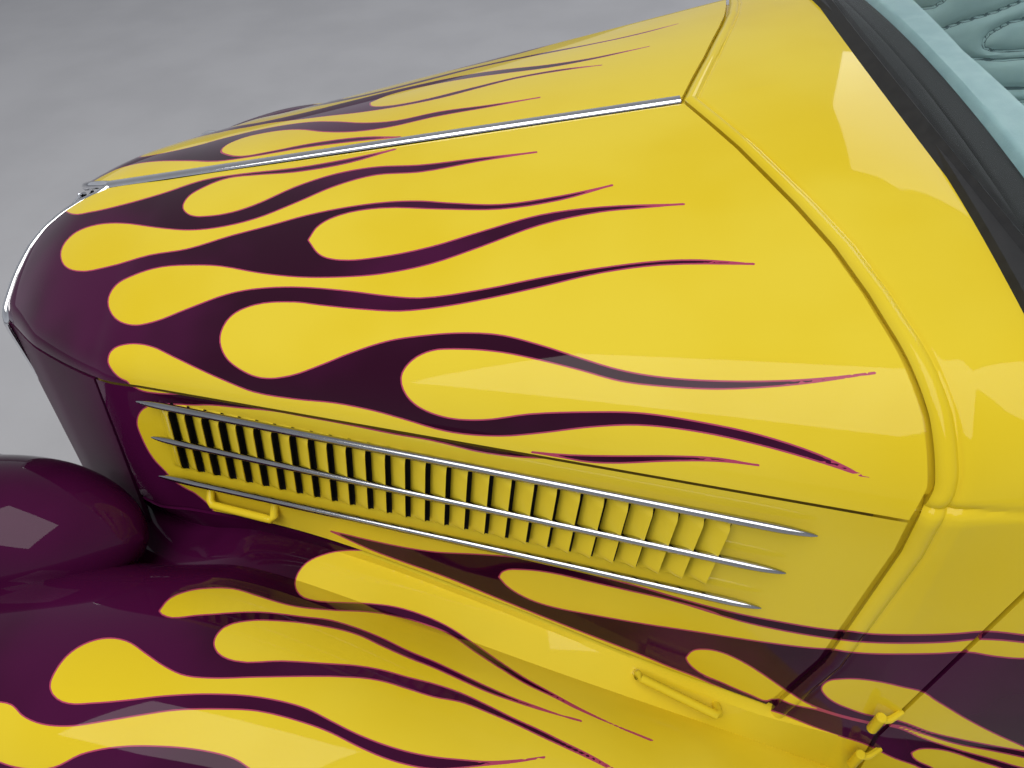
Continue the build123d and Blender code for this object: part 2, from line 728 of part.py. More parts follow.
def cowl(half):
    front = half & wide_box(NOSE_X, COCKPIT_FRONT_X + 30, 900, 200, 1300)
    front = front & behind_hood_edge(0)
    front -= door_cut(PANEL_GAP)
    front = largest(front - cockpit_cut())
    for z in DOOR_HINGE_HEIGHTS:
        x, y, _ = hinge_line(z)
        foot = box(x - 5, x + 5, y - DOOR_HINGE_STANDOFF - 3, y - 3, z - HINGE_BARREL, z - 2)
        front += foot + knuckle(z, -HINGE_BARREL, -2, DOOR_HINGE_RADIUS)
        front -= knuckle(z, -HINGE_BARREL - 5, 0, DOOR_PIN_RADIUS + FIT_CLEARANCE)
    wall = body_block(BODY_WALL) & wide_box(FIREWALL_X, FIREWALL_X + FIREWALL_THICK, 900, 300, 1200)
    wall -= wide_box(FIREWALL_X - 5, FIREWALL_X + 50, TUNNEL_HALF_WIDTH, 200, TUNNEL_TOP_Z)
    whole = both_sides(front + wall)
    return largest(whole - rod(column_line(0), column_line(1), COLUMN_RADIUS + FIT_CLEARANCE))


def door_left(half):
    door = half & door_cut(0)
    door = largest(door - cockpit_cut())
    for z in DOOR_HINGE_HEIGHTS:
        x, y, _ = hinge_line(z)
        run = (DOOR_FRONT_TOP_X - DOOR_FRONT_LOW_X) / (DOOR_FRONT_TOP_Z - DOOR_CORNER_Z)
        edge = DOOR_FRONT_LOW_X + run * max(z - DOOR_CORNER_Z, 0)
        door += box(x, edge + 40, y - 3, y + 3, z + 2, z + HINGE_BARREL)
        door += box(edge + 14, edge + 40, y - DOOR_HINGE_STANDOFF - 6, y, z + 2, z + HINGE_BARREL)
        door += knuckle(z, 2, HINGE_BARREL, DOOR_HINGE_RADIUS)
        door += knuckle(z, -HINGE_BARREL + 2, 3, DOOR_PIN_RADIUS)
    return largest(door)


def body_top(x):
    return row_value(BODY_ROWS, x, 1)


def deck_hinge():
    """x and z of the deck lid's hinge line."""
    x = DECK_FRONT_X - 8
    return x, body_top(x) + DECK_HINGE_STANDOFF


def deck_space(grow):
    return wide_box(DECK_FRONT_X - grow, DECK_REAR_X + grow, DECK_HALF_WIDTH + grow, 480, 1300)


def deck_lid():
    sections = []
    for x in [DECK_FRONT_X] + [x for x in BODY_STATIONS if DECK_FRONT_X < x < DECK_REAR_X] + [DECK_REAR_X]:
        skins = []
        for inset in (0, DECK_SHEET):
            (a, _, c, _, _), _, _ = body_row(x, inset)
            flat = (c[0] ** 2 + (a[1] - c[1]) ** 2) / (2 * (a[1] - c[1]))
            edge = [(y, a[1] - flat + sqrt(flat ** 2 - y ** 2)) for y in (DECK_HALF_WIDTH / 2, DECK_HALF_WIDTH)]
            skins.append((a, *edge))
        (a, b, c), (f, g, h) = skins
        sections.append(ring(lambda p, x=x: left(x, *p), (a, b, c), (c, h), (h, g, f), (f, a)))
    lid = both_sides(ruled(sections))
    x, z = deck_hinge()
    for y in (-DECK_HINGE_Y, DECK_HINGE_Y):
        lid += box(x, DECK_FRONT_X + 50, y + 2, y + HINGE_BARREL, z - 3, z + 3)
        lid += box(DECK_FRONT_X + 20, DECK_FRONT_X + 50, y + 2, y + HINGE_BARREL, z - 30, z)
        lid += tube_y(x, z, y + 2, y + HINGE_BARREL, DECK_HINGE_RADIUS)
        lid += tube_y(x, z, y - HINGE_BARREL + 2, y + 3, DOOR_PIN_RADIUS)
    return largest(lid)


def body_tub(half):
    rear = half & wide_box(COCKPIT_FRONT_X + 30, TAIL_X, 900, 200, 1300)
    rear = rear - door_cut(PANEL_GAP)
    rear = rear - cockpit_cut() - deck_space(PANEL_GAP)
    rear = rear - wide_box(COCKPIT_FRONT_X, 1100, 900, 200, BODY_ROWS[0][5])
    arch_z = REAR_WHEEL[1]
    rear = largest(rear - tube_y(REAR_AXLE_X, arch_z, WHEELHOUSE_Y, 900, ARCH_RADIUS_REAR))
    house = tube_y(REAR_AXLE_X, arch_z, WHEELHOUSE_Y - WHEELHOUSE_WALL, WHEELHOUSE_Y, ARCH_RADIUS_REAR + 20)
    house = house & body_block(BODY_WALL / 2)
    house -= box(REAR_AXLE_X - 70, REAR_AXLE_X + 70, 400, 700, 200, arch_z + 130)
    whole = both_sides(rear + house)
    bulkhead = body_block(BODY_WALL) & wide_box(BULKHEAD_X, BULKHEAD_X + FIREWALL_THICK, 900, 300, 1200)
    tunnel = wide_box(BULKHEAD_X - 5, BULKHEAD_X + 50, TUNNEL_HALF_WIDTH + TUNNEL_WALL + SEAT_GAP, 200,
                      TUNNEL_TOP_Z + TUNNEL_WALL + SEAT_GAP)
    whole += both_sides(bulkhead) - tunnel
    x, z = deck_hinge()
    for y in (-DECK_HINGE_Y, DECK_HINGE_Y):
        whole += box(x - 5, x + 5, y - HINGE_BARREL, y - 2, z - 30, z - 3)
        whole += tube_y(x, z, y - HINGE_BARREL, y - 2, DECK_HINGE_RADIUS)
        whole -= tube_y(x, z, y - HINGE_BARREL - 5, y, DOOR_PIN_RADIUS + FIT_CLEARANCE)
    return largest(whole)


def floor():
    half = []
    for x in (FIREWALL_X, *[x for x in BODY_STATIONS if FIREWALL_X < x < FLOOR_REAR_X], FLOOR_REAR_X):
        half.append((x, row_value(BODY_ROWS, x, 4) - 3))
    outline = half + [(x, -y) for x, y in reversed(half)]
    plate = prism_z(outline, FLOOR_TOP_Z - FLOOR_THICK, FLOOR_TOP_Z)
    tunnel = wide_box(FIREWALL_X + FIREWALL_THICK + SEAT_GAP, FLOOR_REAR_X, TUNNEL_HALF_WIDTH + TUNNEL_WALL,
                      FLOOR_TOP_Z - FLOOR_THICK, TUNNEL_TOP_Z + TUNNEL_WALL)
    hollow = wide_box(FIREWALL_X - 10, FLOOR_REAR_X + 10, TUNNEL_HALF_WIDTH, 200, TUNNEL_TOP_Z)
    riser = wide_box(SEAT_X0 + 40, SEAT_X1 + SEAT_BACK_THICK - 20, SEAT_HALF_WIDTH - 40, FLOOR_TOP_Z, SEAT_LOW_Z - SEAT_GAP)
    return (plate + tunnel + riser) - hollow


def dashboard():
    slab = body_block(BODY_WALL + SEAT_GAP) & wide_box(DASH_X, DASH_X + DASH_THICK, 900, DASH_LOW_Z, 1200)
    return both_sides(slab) - rod(column_line(0), column_line(1), COLUMN_RADIUS + FIT_CLEARANCE)


def shield_slab(thick, width, height, top_width, inset):
    """A piece of the bowed windshield, in its own frame: x through it, z up along its rake."""
    radius = (SHIELD_HALF_WIDTH ** 2 + SHIELD_BOW ** 2) / (2 * SHIELD_BOW)
    skin = Pos(radius, 0, 200) * (Cylinder(radius + thick / 2, 900) - Cylinder(radius - thick / 2, 900))
    low, high, corner = -160 + inset, height - inset, SHIELD_CORNER
    half, top = width - inset, top_width - inset
    outline = [(half, low), (half, 0), (top, high - corner), (top - corner / 3, high - corner / 3),
               (top - corner, high)]
    outline += [(-y, z) for y, z in reversed(outline)]
    shape = prism([Vector(-300, y, z) for y, z in outline], Vector(600, 0, 0))
    return (skin & shape) & Pos(200, 0, 200) * Box(500, 2000, 1000)


def place_shield(shape):
    return Pos(SHIELD_X, 0, SHIELD_Z) * Rot(0, SHIELD_RAKE, 0) * shape


def windshield_frame(blocks):
    frame = shield_slab(SHIELD_DEPTH, SHIELD_HALF_WIDTH, SHIELD_HEIGHT, SHIELD_TOP_HALF_WIDTH, 0)
    opening = shield_slab(SHIELD_DEPTH * 2, SHIELD_HALF_WIDTH, SHIELD_HEIGHT, SHIELD_TOP_HALF_WIDTH, SHIELD_FRAME)
    sill = Pos(0, 0, -200 + SHIELD_SILL) * Box(400, 2000, 400)
    frame = place_shield(frame - (opening - sill))
    return topmost(frame - blocks)


def windshield_glass():
    inset = SHIELD_FRAME + SEAT_GAP
    glass = shield_slab(GLASS_THICK, SHIELD_HALF_WIDTH, SHIELD_HEIGHT, SHIELD_TOP_HALF_WIDTH, inset)
    sill = Pos(0, 0, -200 + SHIELD_SILL + SEAT_GAP) * Box(400, 2000, 400)
    return place_shield(glass - sill)


# Fenders, lamps and running boards

def tangent_arc(crown, end, inset):
    """Three points of the arc that leaves the crown level and meets end, moved in by inset."""
    dy, dz = end[0] - crown[0], crown[1] - end[1]
    radius = (dy * dy + dz * dz) / (2 * dz)
    reach = atan2(dy, radius - dz)
    return [(crown[0] + (radius - inset) * sin(reach * share),
             crown[1] - radius + (radius - inset) * cos(reach * share)) for share in (0, 0.5, 1)]


def fender(rows, stations, axle_x):
    sections = []
    for x in stations:
        _, *values = row_at(rows, x)
        inner, valley, crown, lip = zip(values[::2], values[1::2])
        in_arc, in_skin = tangent_arc(crown, valley, 0), tangent_arc(crown, valley, FENDER_SHEET)
        out_arc, out_skin = tangent_arc(crown, lip, 0), tangent_arc(crown, lip, FENDER_SHEET)
        run, fall = valley[0] - inner[0], valley[1] - inner[1]
        down = (FENDER_SHEET * fall / hypot(run, fall), -FENDER_SHEET * run / hypot(run, fall))
        low_valley = (valley[0] + down[0], valley[1] + down[1])
        under = (inner[0] + down[0], inner[1] + down[1])
        sections.append(ring(lambda p, x=x: left(axle_x + x, *p), (inner, valley), in_arc[::-1], out_arc,
                             (lip, out_skin[2]), out_skin[::-1], in_skin, (in_skin[2], low_valley),
                             (low_valley, under), (under, inner)))
    return ruled(sections)


def front_fender_left(body, shell):
    wing = largest(fender(FRONT_FENDER_ROWS, FRONT_FENDER_STATIONS, FRONT_AXLE_X) - body - shell)
    for x0, x1 in HANDLES:
        wing += apron_handle(x0, x1)
    for z in DOOR_HINGE_HEIGHTS:
        x, y, _ = hinge_line(z)
        wing -= box(x - 6, x + 6, y - DOOR_HINGE_STANDOFF - 4, y - 2, z - HINGE_BARREL - 1, z - 1)
    return largest(wing)


def rear_fender_left(body):
    return largest(fender(REAR_FENDER_ROWS, REAR_FENDER_STATIONS, REAR_AXLE_X) - body)


def running_board_left():
    x0 = FRONT_AXLE_X + FRONT_FENDER_ROWS[-1][0] + SEAT_GAP
    x1 = REAR_AXLE_X + REAR_FENDER_ROWS[0][0] - SEAT_GAP
    low = RUNNING_BOARD_Z - RUNNING_BOARD_THICK
    board = box(x0, x1, RUNNING_BOARD_INNER_Y, RUNNING_BOARD_OUTER_Y, low, RUNNING_BOARD_Z)
    return fillet(board.edges().filter_by(Axis.X), 8)


def headlamp_left(fender_left):
    """A bullet lamp on a short stanchion, its lens ahead and its point behind."""
    widest, tip = LAMP_FRONT + 30, 4
    face = Face(Wire([
        Line((LAMP_FRONT, 0), (LAMP_FRONT, LAMP_RADIUS - 18)),
        Line((LAMP_FRONT, LAMP_RADIUS - 18), (LAMP_FRONT + 14, LAMP_RADIUS)),
        Line((LAMP_FRONT + 14, LAMP_RADIUS), (widest, LAMP_RADIUS)),
        Bezier((widest, LAMP_RADIUS), (widest + 130, LAMP_RADIUS), (LAMP_TAIL - 50, 0.45 * LAMP_RADIUS),
               (LAMP_TAIL, tip)),
        Line((LAMP_TAIL, tip), (LAMP_TAIL, 0)),
        Line((LAMP_TAIL, 0), (LAMP_FRONT, 0)),
    ]))
    shell = Pos(NOSE_X, -LAMP_Y, LAMP_Z) * revolve(face, Axis.X)
    post = tube_z(NOSE_X + LAMP_POST_X, LAMP_Y, LAMP_Z - 180, LAMP_Z - LAMP_RADIUS + 20, LAMP_POST_RADIUS)
    return topmost((shell + post) - fender_left)


def tail_lamps(fender_left):
    body = tube_x(REAR_AXLE_X + 640, REAR_AXLE_X + 720, TAIL_LAMP_Y, TAIL_LAMP_Z, TAIL_LAMP_RADIUS)
    post = tube_z(REAR_AXLE_X + 670, TAIL_LAMP_Y, TAIL_LAMP_Z - 110, TAIL_LAMP_Z, 12)
    lamp = topmost((body + post) - fender_left)
    return Compound([lamp, mirrored(lamp)])


# Inside

def seat_cushion():
    block = wide_box(SEAT_X0, SEAT_X1, SEAT_HALF_WIDTH, SEAT_LOW_Z, SEAT_LOW_Z + SEAT_THICK)
    return fillet(block.edges().filter_by(Axis.Y), 40)


def seat_back():
    x0, x1 = SEAT_X1 + SEAT_GAP, SEAT_X1 + SEAT_GAP + SEAT_BACK_THICK
    lean = SEAT_BACK_LEAN * (SEAT_TOP_Z - SEAT_LOW_Z - SEAT_THICK)
    outline = [(x0, SEAT_LOW_Z), (x1, SEAT_LOW_Z), (x1, SEAT_LOW_Z + SEAT_THICK), (x1 + lean, SEAT_TOP_Z),
               (x0 + lean, SEAT_TOP_Z), (x0, SEAT_LOW_Z + SEAT_THICK)]
    block = prism_y(outline, 30 - SEAT_HALF_WIDTH, SEAT_HALF_WIDTH - 30)
    return fillet(block.edges().filter_by(Axis.Y), 30)


def steering_column():
    hub = WHEEL_HUB_LENGTH / hypot(COLUMN_TOP[0] - COLUMN_LOW[0], COLUMN_TOP[1] - COLUMN_LOW[1])
    return (rod(column_line(0.02), column_line(1), COLUMN_RADIUS)
            + rod(column_line(0.5), column_line(1 + hub), COLUMN_PIN_RADIUS))


def steering_wheel():
    way = left(*column_line(1)) - left(*column_line(0))
    start = left(*column_line(1)) + way.normalized() * SEAT_GAP
    plane = Plane(origin=start, x_dir=(0, 1, 0), z_dir=way)
    wheel = Pos(0, 0, WHEEL_HUB_LENGTH / 2) * Torus(STEERING_WHEEL_RADIUS, STEERING_RIM_RADIUS)
    wheel += Pos(0, 0, WHEEL_HUB_LENGTH / 2) * Cylinder(34, WHEEL_HUB_LENGTH)
    for turn in (90, 210, 330):
        spoke = Pos(STEERING_WHEEL_RADIUS / 2, 0, WHEEL_HUB_LENGTH / 2) * Box(STEERING_WHEEL_RADIUS, 26, 6)
        wheel += Rot(0, 0, turn) * spoke
    wheel -= Pos(0, 0, WHEEL_HUB_LENGTH / 2) * Cylinder(COLUMN_PIN_RADIUS + FIT_CLEARANCE, WHEEL_HUB_LENGTH + 10)
    return plane * wheel


# Frame, engine and running gear

def frame(fenders):
    side = [(FRAME_FRONT_X, 360), (FRAME_FRONT_X, 420), (FRONT_AXLE_X + 160, 420), (FRONT_AXLE_X + 420, 285),
            (REAR_AXLE_X - 420, 285), (REAR_AXLE_X - 190, 560), (REAR_AXLE_X + 230, 560), (FRAME_REAR_X, 440),
            (FRAME_REAR_X, 360), (REAR_AXLE_X + 200, 490), (REAR_AXLE_X - 150, 490), (REAR_AXLE_X - 370, 195),
            (FRONT_AXLE_X + 400, 195), (FRONT_AXLE_X + 140, 340)]
    rail = prism_y(side, RAIL_INNER_Y, RAIL_INNER_Y + RAIL_WIDTH)
    rails = rail + mirrored(rail)
    # Each crossmember: x and z of its two corners
    for x0, x1, z0, z1 in ((FRONT_AXLE_X - 40, FRONT_AXLE_X + 40, SPRING_TOP_Z + SEAT_GAP, 420),
                           (ENGINE_X0 + 100, ENGINE_X0 + 180, 262, ENGINE_LOW_Z - SEAT_GAP),
                           (ENGINE_X1 - 100, ENGINE_X1 - 20, 262, ENGINE_LOW_Z - SEAT_GAP),
                           (100, 180, 195, 225),
                           (REAR_AXLE_X - 40, REAR_AXLE_X + 40, REAR_SPRING_TOP_Z + SEAT_GAP, 560),
                           (FRAME_REAR_X - 60, FRAME_REAR_X, 370, 430)):
        rails += wide_box(x0, x1, RAIL_INNER_Y + 10, z0, z1)
    plate = [(NOSE_X - 200, 0), (NOSE_X - 200, 222), (NOSE_X - 142, 285), (NOSE_X - 47, 372), (NOSE_X + 75, 462),
             (NOSE_X + 75, 0)]
    plate = prism_z(plate, 412, HOOD_FOOT_Z - SEAT_GAP)
    rails += both_sides(plate)
    arms = None
    for x in (-300, 0, 300):
        arm = box(x - 25, x + 25, RAIL_INNER_Y + 10, RUNNING_BOARD_OUTER_Y - 20, 250, 285)
        arm += box(x - 25, x + 25, RUNNING_BOARD_INNER_Y + 10, RUNNING_BOARD_OUTER_Y - 20, 250,
                   RUNNING_BOARD_Z - RUNNING_BOARD_THICK - SEAT_GAP)
        arms = arm if arms is None else arms + arm
    half_length, half_width, depth = JACK_PAD
    middle = RAIL_INNER_Y + RAIL_WIDTH / 2
    for x in JACK_PADS:
        arms += box(x - half_length, x + half_length, middle - half_width, middle + half_width, 195 - depth, 197)
    fender_arm = rod((FRAME_FRONT_X + 60, RAIL_INNER_Y + 20, 400), (FRAME_FRONT_X + 60, 600, 600), 14)
    rear_arm = rod((FRONT_AXLE_X + 800, RAIL_INNER_Y + 20, 240), (FRONT_AXLE_X + 800, 790, 700), 14)
    arms += fender_arm + rear_arm
    return largest(rails + arms + mirrored(arms) - fenders)


def engine_block():
    block = wide_box(ENGINE_X0, ENGINE_X1, 150, ENGINE_LOW_Z, 640)
    bank = prism_x([(60, 520), (200, 520), (250, 720), (150, 800), (60, 700)], ENGINE_X0 + 30, ENGINE_X1 - 30)
    return block + both_sides(bank) + wide_box(ENGINE_X0 + 80, ENGINE_X1 - 120, 130, 600, 860)


def gearbox():
    x0 = ENGINE_X1 + SEAT_GAP
    return wide_box(x0, x0 + 150, 120, 280, 408) + wide_box(x0 + 100, GEARBOX_REAR_X, 80, 220, 380)


def drive_shaft():
    front, rear = GEARBOX_REAR_X + SEAT_GAP, REAR_AXLE_X - DIFF_LENGTH - SEAT_GAP
    shaft = rod((front + 20, 0, SHAFT_FRONT_Z), (rear - 20, 0, REAR_WHEEL[1]), SHAFT_RADIUS)
    shaft += tube_x(front, front + 50, 0, SHAFT_FRONT_Z, SHAFT_RADIUS + 8)
    return shaft + tube_x(rear - 50, rear, 0, REAR_WHEEL[1], SHAFT_RADIUS + 8)


def exhaust():
    pipes = []
    for y in (-EXHAUST_Y, EXHAUST_Y):
        pipe = tube_x(ENGINE_X1 - 300, FRAME_REAR_X + 120, y, EXHAUST_Z, 26)
        pipe += tube_x(200, 700, y, EXHAUST_Z, 52)
        pipe -= tube_x(FRAME_REAR_X - 100, FRAME_REAR_X + 130, y, EXHAUST_Z, 22)
        side = 1 if y > 0 else -1
        for x in (-200, 750):
            pipe += box(x - 12, x + 12, y, side * (RAIL_INNER_Y + 30), EXHAUST_Z - 8, EXHAUST_Z + 8)
            pipe += box(x - 12, x + 12, side * (RAIL_INNER_Y + 15), side * (RAIL_INNER_Y + 35), EXHAUST_Z - 8,
                        195 - SEAT_GAP)
        pipes.append(pipe)
    return Compound([solid for pipe in pipes for solid in pipe.solids()])


def fuel_tank():
    x0, x1 = REAR_AXLE_X + 260, FRAME_REAR_X - 70
    tank = wide_box(x0, x1, RAIL_INNER_Y - 20, 300, 450)
    tank = fillet(tank.edges().filter_by(Axis.Y), 30)
    return tank + wide_box(x0 + 100, x0 + 130, RAIL_INNER_Y - SEAT_GAP, 430, 475)


def leaf_spring(x, half_span, z_top, drop, thick):
    """A transverse leaf spring bowed up to z_top, seen from the front as two arcs."""
    outer = (half_span ** 2 + drop ** 2) / (2 * drop)
    ring_part = Cylinder(outer, 60) - Cylinder(outer - thick, 70)
    spring = Pos(x, 0, z_top - outer) * Rot(0, 90, 0) * ring_part
    return spring & wide_box(x - 50, x + 50, half_span, z_top - drop, z_top + 10)


def front_axle():
    z = FRONT_WHEEL[1]
    bore_half = 26
    beam = [(0, 212), (420, 212), (KINGPIN_Y - 40, z - 26), (KINGPIN_Y - 6, z - 26), (KINGPIN_Y - 6, z + 26),
            (KINGPIN_Y - 40, z + 26), (440, 262), (0, 262)]
    beam += [(-y, zz) for y, zz in reversed(beam[1:-1])]
    axle = prism_x(beam, FRONT_AXLE_X - 28, FRONT_AXLE_X + 28)
    spring = leaf_spring(FRONT_AXLE_X, 430, SPRING_TOP_Z, 70, 34)
    for y in (-KINGPIN_Y, KINGPIN_Y):
        axle += tube_z(FRONT_AXLE_X, y, z - bore_half, z + bore_half, KINGPIN_RADIUS + 14)
        axle -= tube_z(FRONT_AXLE_X, y, z - 60, z + 60, KINGPIN_RADIUS + FIT_CLEARANCE)
    for y in (-410, 410):
        axle += box(FRONT_AXLE_X - 20, FRONT_AXLE_X + 20, y - 12, y + 12, 240, SPRING_TOP_Z - 50)
    arm = rod((FRONT_AXLE_X + 20, 330, 198), (FRONT_AXLE_X + 760, 120, 206), 14)
    arm += box(FRONT_AXLE_X - 20, FRONT_AXLE_X + 28, 315, 345, 188, 220)
    axle += both_sides(arm + box(FRONT_AXLE_X + 700, FRONT_AXLE_X + 770, 0, 140, 190, 219.7))
    axle += wide_box(FRONT_AXLE_X - 35, FRONT_AXLE_X + 35, 60, SPRING_TOP_Z - 34, SPRING_TOP_Z)
    return axle + spring


def rear_axle():
    z = REAR_WHEEL[1]
    axle = tube_y(REAR_AXLE_X, z, -REAR_BACKING_Y, REAR_BACKING_Y, 38)
    axle += tube_y(REAR_AXLE_X, z, -REAR_SPINDLE_END, REAR_SPINDLE_END, SPINDLE_RADIUS)
    axle += tube_y(REAR_AXLE_X, z, -90, 90, 120)
    axle += tube_x(REAR_AXLE_X - DIFF_LENGTH, REAR_AXLE_X, 0, z, 60)
    for y in (REAR_BACKING_Y - 12, -REAR_BACKING_Y):
        axle += tube_y(REAR_AXLE_X, z, y, y + 12, 135)
    spring = leaf_spring(REAR_AXLE_X, 470, REAR_SPRING_TOP_Z, 90, 40)
    axle += spring & wide_box(REAR_AXLE_X - 60, REAR_AXLE_X + 60, 470, 300, 700)
    for y in (-450, 450):
        axle += box(REAR_AXLE_X - 20, REAR_AXLE_X + 20, y - 12, y + 12, z, REAR_SPRING_TOP_Z - 70)
    eye = (REAR_AXLE_X - 430, 410, 240)
    arm = rod((REAR_AXLE_X - 20, 425, z), eye, 14)
    arm += tube_y(eye[0], eye[2], RAIL_INNER_Y + RAIL_WIDTH + SEAT_GAP, 425, 22)
    return axle + arm + mirrored(arm)


def tyre(wheel):
    x, radius, width, rim, y = wheel
    inner = rim + SEAT_GAP
    half = width / 2
    shoulder = half * 0.8
    middle = (inner + radius - 22) / 2
    face = Face(Wire([
        Line((inner, -shoulder), (inner, shoulder)),
        ThreePointArc((inner, shoulder), (middle, half), (radius - 22, shoulder)),
        Line((radius - 22, shoulder), (radius - 6, shoulder - 10)),
        Line((radius - 6, shoulder - 10), (radius, shoulder - 30)),
        Line((radius, shoulder - 30), (radius, 30 - shoulder)),
        Line((radius, 30 - shoulder), (radius - 6, 10 - shoulder)),
        Line((radius - 6, 10 - shoulder), (radius - 22, -shoulder)),
        ThreePointArc((radius - 22, -shoulder), (middle, -half), (inner, -shoulder)),
    ]))
    return Pos(x, -y, radius) * revolve(face, Axis.Y)


def road_wheel(wheel, hub_inner):
    """A steel wheel with its rim, dished disc, hub, cap and drum; hub_inner is y of the drum's inner face."""
    x, radius, width, rim, y = wheel
    half = width * 0.4
    band = tube_y(x, radius, y - half, y + half, rim) - tube_y(x, radius, y - half - 5, y + half + 5, rim - 12)
    disc = tube_y(x, radius, y + 10, y + 22, rim - 5)
    cap = Pos(x, -(y - 30), radius) * Sphere(118)
    cap = cap & box(x - 130, x + 130, y + 15, y + half + 30, radius - 130, radius + 130)
    hub = tube_y(x, radius, hub_inner + 10, y + 22, 45)
    drum = tube_y(x, radius, hub_inner, hub_inner + 55, 140) - tube_y(x, radius, hub_inner - 5, hub_inner + 45, 130)
    drum += tube_y(x, radius, hub_inner + 10, hub_inner + 55, 45)
    wheel = band + disc + cap + hub + drum
    return wheel - tube_y(x, radius, hub_inner - 5, y + 5, SPINDLE_RADIUS + FIT_CLEARANCE)


def knuckle_left():
    x, z = FRONT_AXLE_X, FRONT_WHEEL[1]
    pin = tube_z(x, KINGPIN_Y, z - 60, z + 60, KINGPIN_RADIUS)
    ears = tube_z(x, KINGPIN_Y, z - 60, z - 31, 24) + tube_z(x, KINGPIN_Y, z + 31, z + 60, 24)
    plate = box(x - 24, x + 24, KINGPIN_Y + 10, KNUCKLE_PLATE_Y, z - 60, z - 31)
    plate += box(x - 24, x + 24, KINGPIN_Y + 10, KNUCKLE_PLATE_Y, z + 31, z + 60)
    plate += tube_y(x, z, KNUCKLE_PLATE_Y - 8, KNUCKLE_PLATE_Y, 125)
    plate -= tube_z(x, KINGPIN_Y, z - 31, z + 31, KINGPIN_RADIUS + 14 + MOVE_CLEARANCE)
    spindle = tube_y(x, z, KNUCKLE_PLATE_Y - 8, FRONT_WHEEL[4], SPINDLE_RADIUS)
    arm = box(x, x + STEERING_ARM + 18, KINGPIN_Y - 16, KINGPIN_Y + 8, z - 60, z - 42)
    stud = tube_z(x + STEERING_ARM, KINGPIN_Y, TIE_ROD_Z - TIE_ROD_RADIUS - 4, z - 50, TIE_STUD_RADIUS)
    return pin + ears + plate + spindle + arm + stud


def tie_rod():
    x = FRONT_AXLE_X + STEERING_ARM
    bar = tube_y(x, TIE_ROD_Z, -KINGPIN_Y, KINGPIN_Y, TIE_ROD_RADIUS)
    for y in (-KINGPIN_Y, KINGPIN_Y):
        bar += tube_z(x, y, TIE_ROD_Z - TIE_ROD_RADIUS - 4, TIE_ROD_Z + TIE_ROD_RADIUS + 4, TIE_STUD_RADIUS + 10)
    bar -= tube_z(x, KINGPIN_Y, TIE_ROD_Z - 50, TIE_ROD_Z + 50, TIE_STUD_RADIUS + FIT_CLEARANCE)
    bar -= tube_z(x, -KINGPIN_Y, TIE_ROD_Z - 50, TIE_ROD_Z + 50, TIE_STUD_RADIUS + OPEN_PIVOT_CLEARANCE)
    return bar


def radiator():
    return wide_box(NOSE_X + 10, NOSE_X + 75, 215, HOOD_FOOT_Z, 860)


def build():
    half = body_half()
    body = body_block(-SEAT_GAP)
    body = both_sides(body)
    shell = grille_shell()
    strip = hood_strip()
    trim = largest(grille_trim() - shell - strip)
    front_fender = front_fender_left(body, shell)
    rear_fender = rear_fender_left(body)
    fenders = [front_fender, mirrored(front_fender)]
    door = door_left(half)
    hood_top, hood_side, strips = hood_top_left(), hood_side_left(), side_strips_left()
    board = running_board_left()
    lamp = headlamp_left(front_fender)
    knuckle_piece = knuckle_left()
    front_tyre, rear_tyre = tyre(FRONT_WHEEL), tyre(REAR_WHEEL)
    front_wheel = road_wheel(FRONT_WHEEL, KNUCKLE_PLATE_Y + DRUM_GAP)
    rear_wheel = road_wheel(REAR_WHEEL, REAR_BACKING_Y + DRUM_GAP)
    pairs = {
        "front_fender": front_fender, "rear_fender": rear_fender, "door": door, "hood_top": hood_top,
        "hood_side": hood_side, "side_strips": strips, "running_board": board, "headlamp": lamp,
        "knuckle": knuckle_piece, "tyre_front": front_tyre, "tyre_rear": rear_tyre,
        "wheel_front": front_wheel, "wheel_rear": rear_wheel,
    }
    nodes = {
        "hood_strip": strip, "grille_shell": shell, "grille_bars": grille_bars(),
        "grille_trim": trim, "radiator": radiator(), "cowl": cowl(half), "body_tub": body_tub(half),
        "deck_lid": deck_lid(), "floor": floor(), "dashboard": dashboard(),
        "windshield_frame": windshield_frame(body), "windshield_glass": windshield_glass(),
        "seat_cushion": seat_cushion(), "seat_back": seat_back(), "steering_column": steering_column(),
        "steering_wheel": steering_wheel(), "tail_lamps": tail_lamps(rear_fender), "frame": frame(fenders),
        "engine_block": engine_block(), "gearbox": gearbox(), "drive_shaft": drive_shaft(),
        "exhaust": exhaust(), "fuel_tank": fuel_tank(), "front_axle": front_axle(), "rear_axle": rear_axle(),
        "tie_rod": tie_rod(),
    }
    for name, shape in pairs.items():
        nodes[name + "_left"] = shape
        nodes[name + "_right"] = mirrored(shape)
    return nodes


os.makedirs("parts", exist_ok=True)
for name, shape in build().items():
    export_step(shape, f"parts/{name}.step")
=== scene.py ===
import json
from math import cos, pi, radians, sin
import bpy
import numpy as np
from mathutils import Matrix, Vector


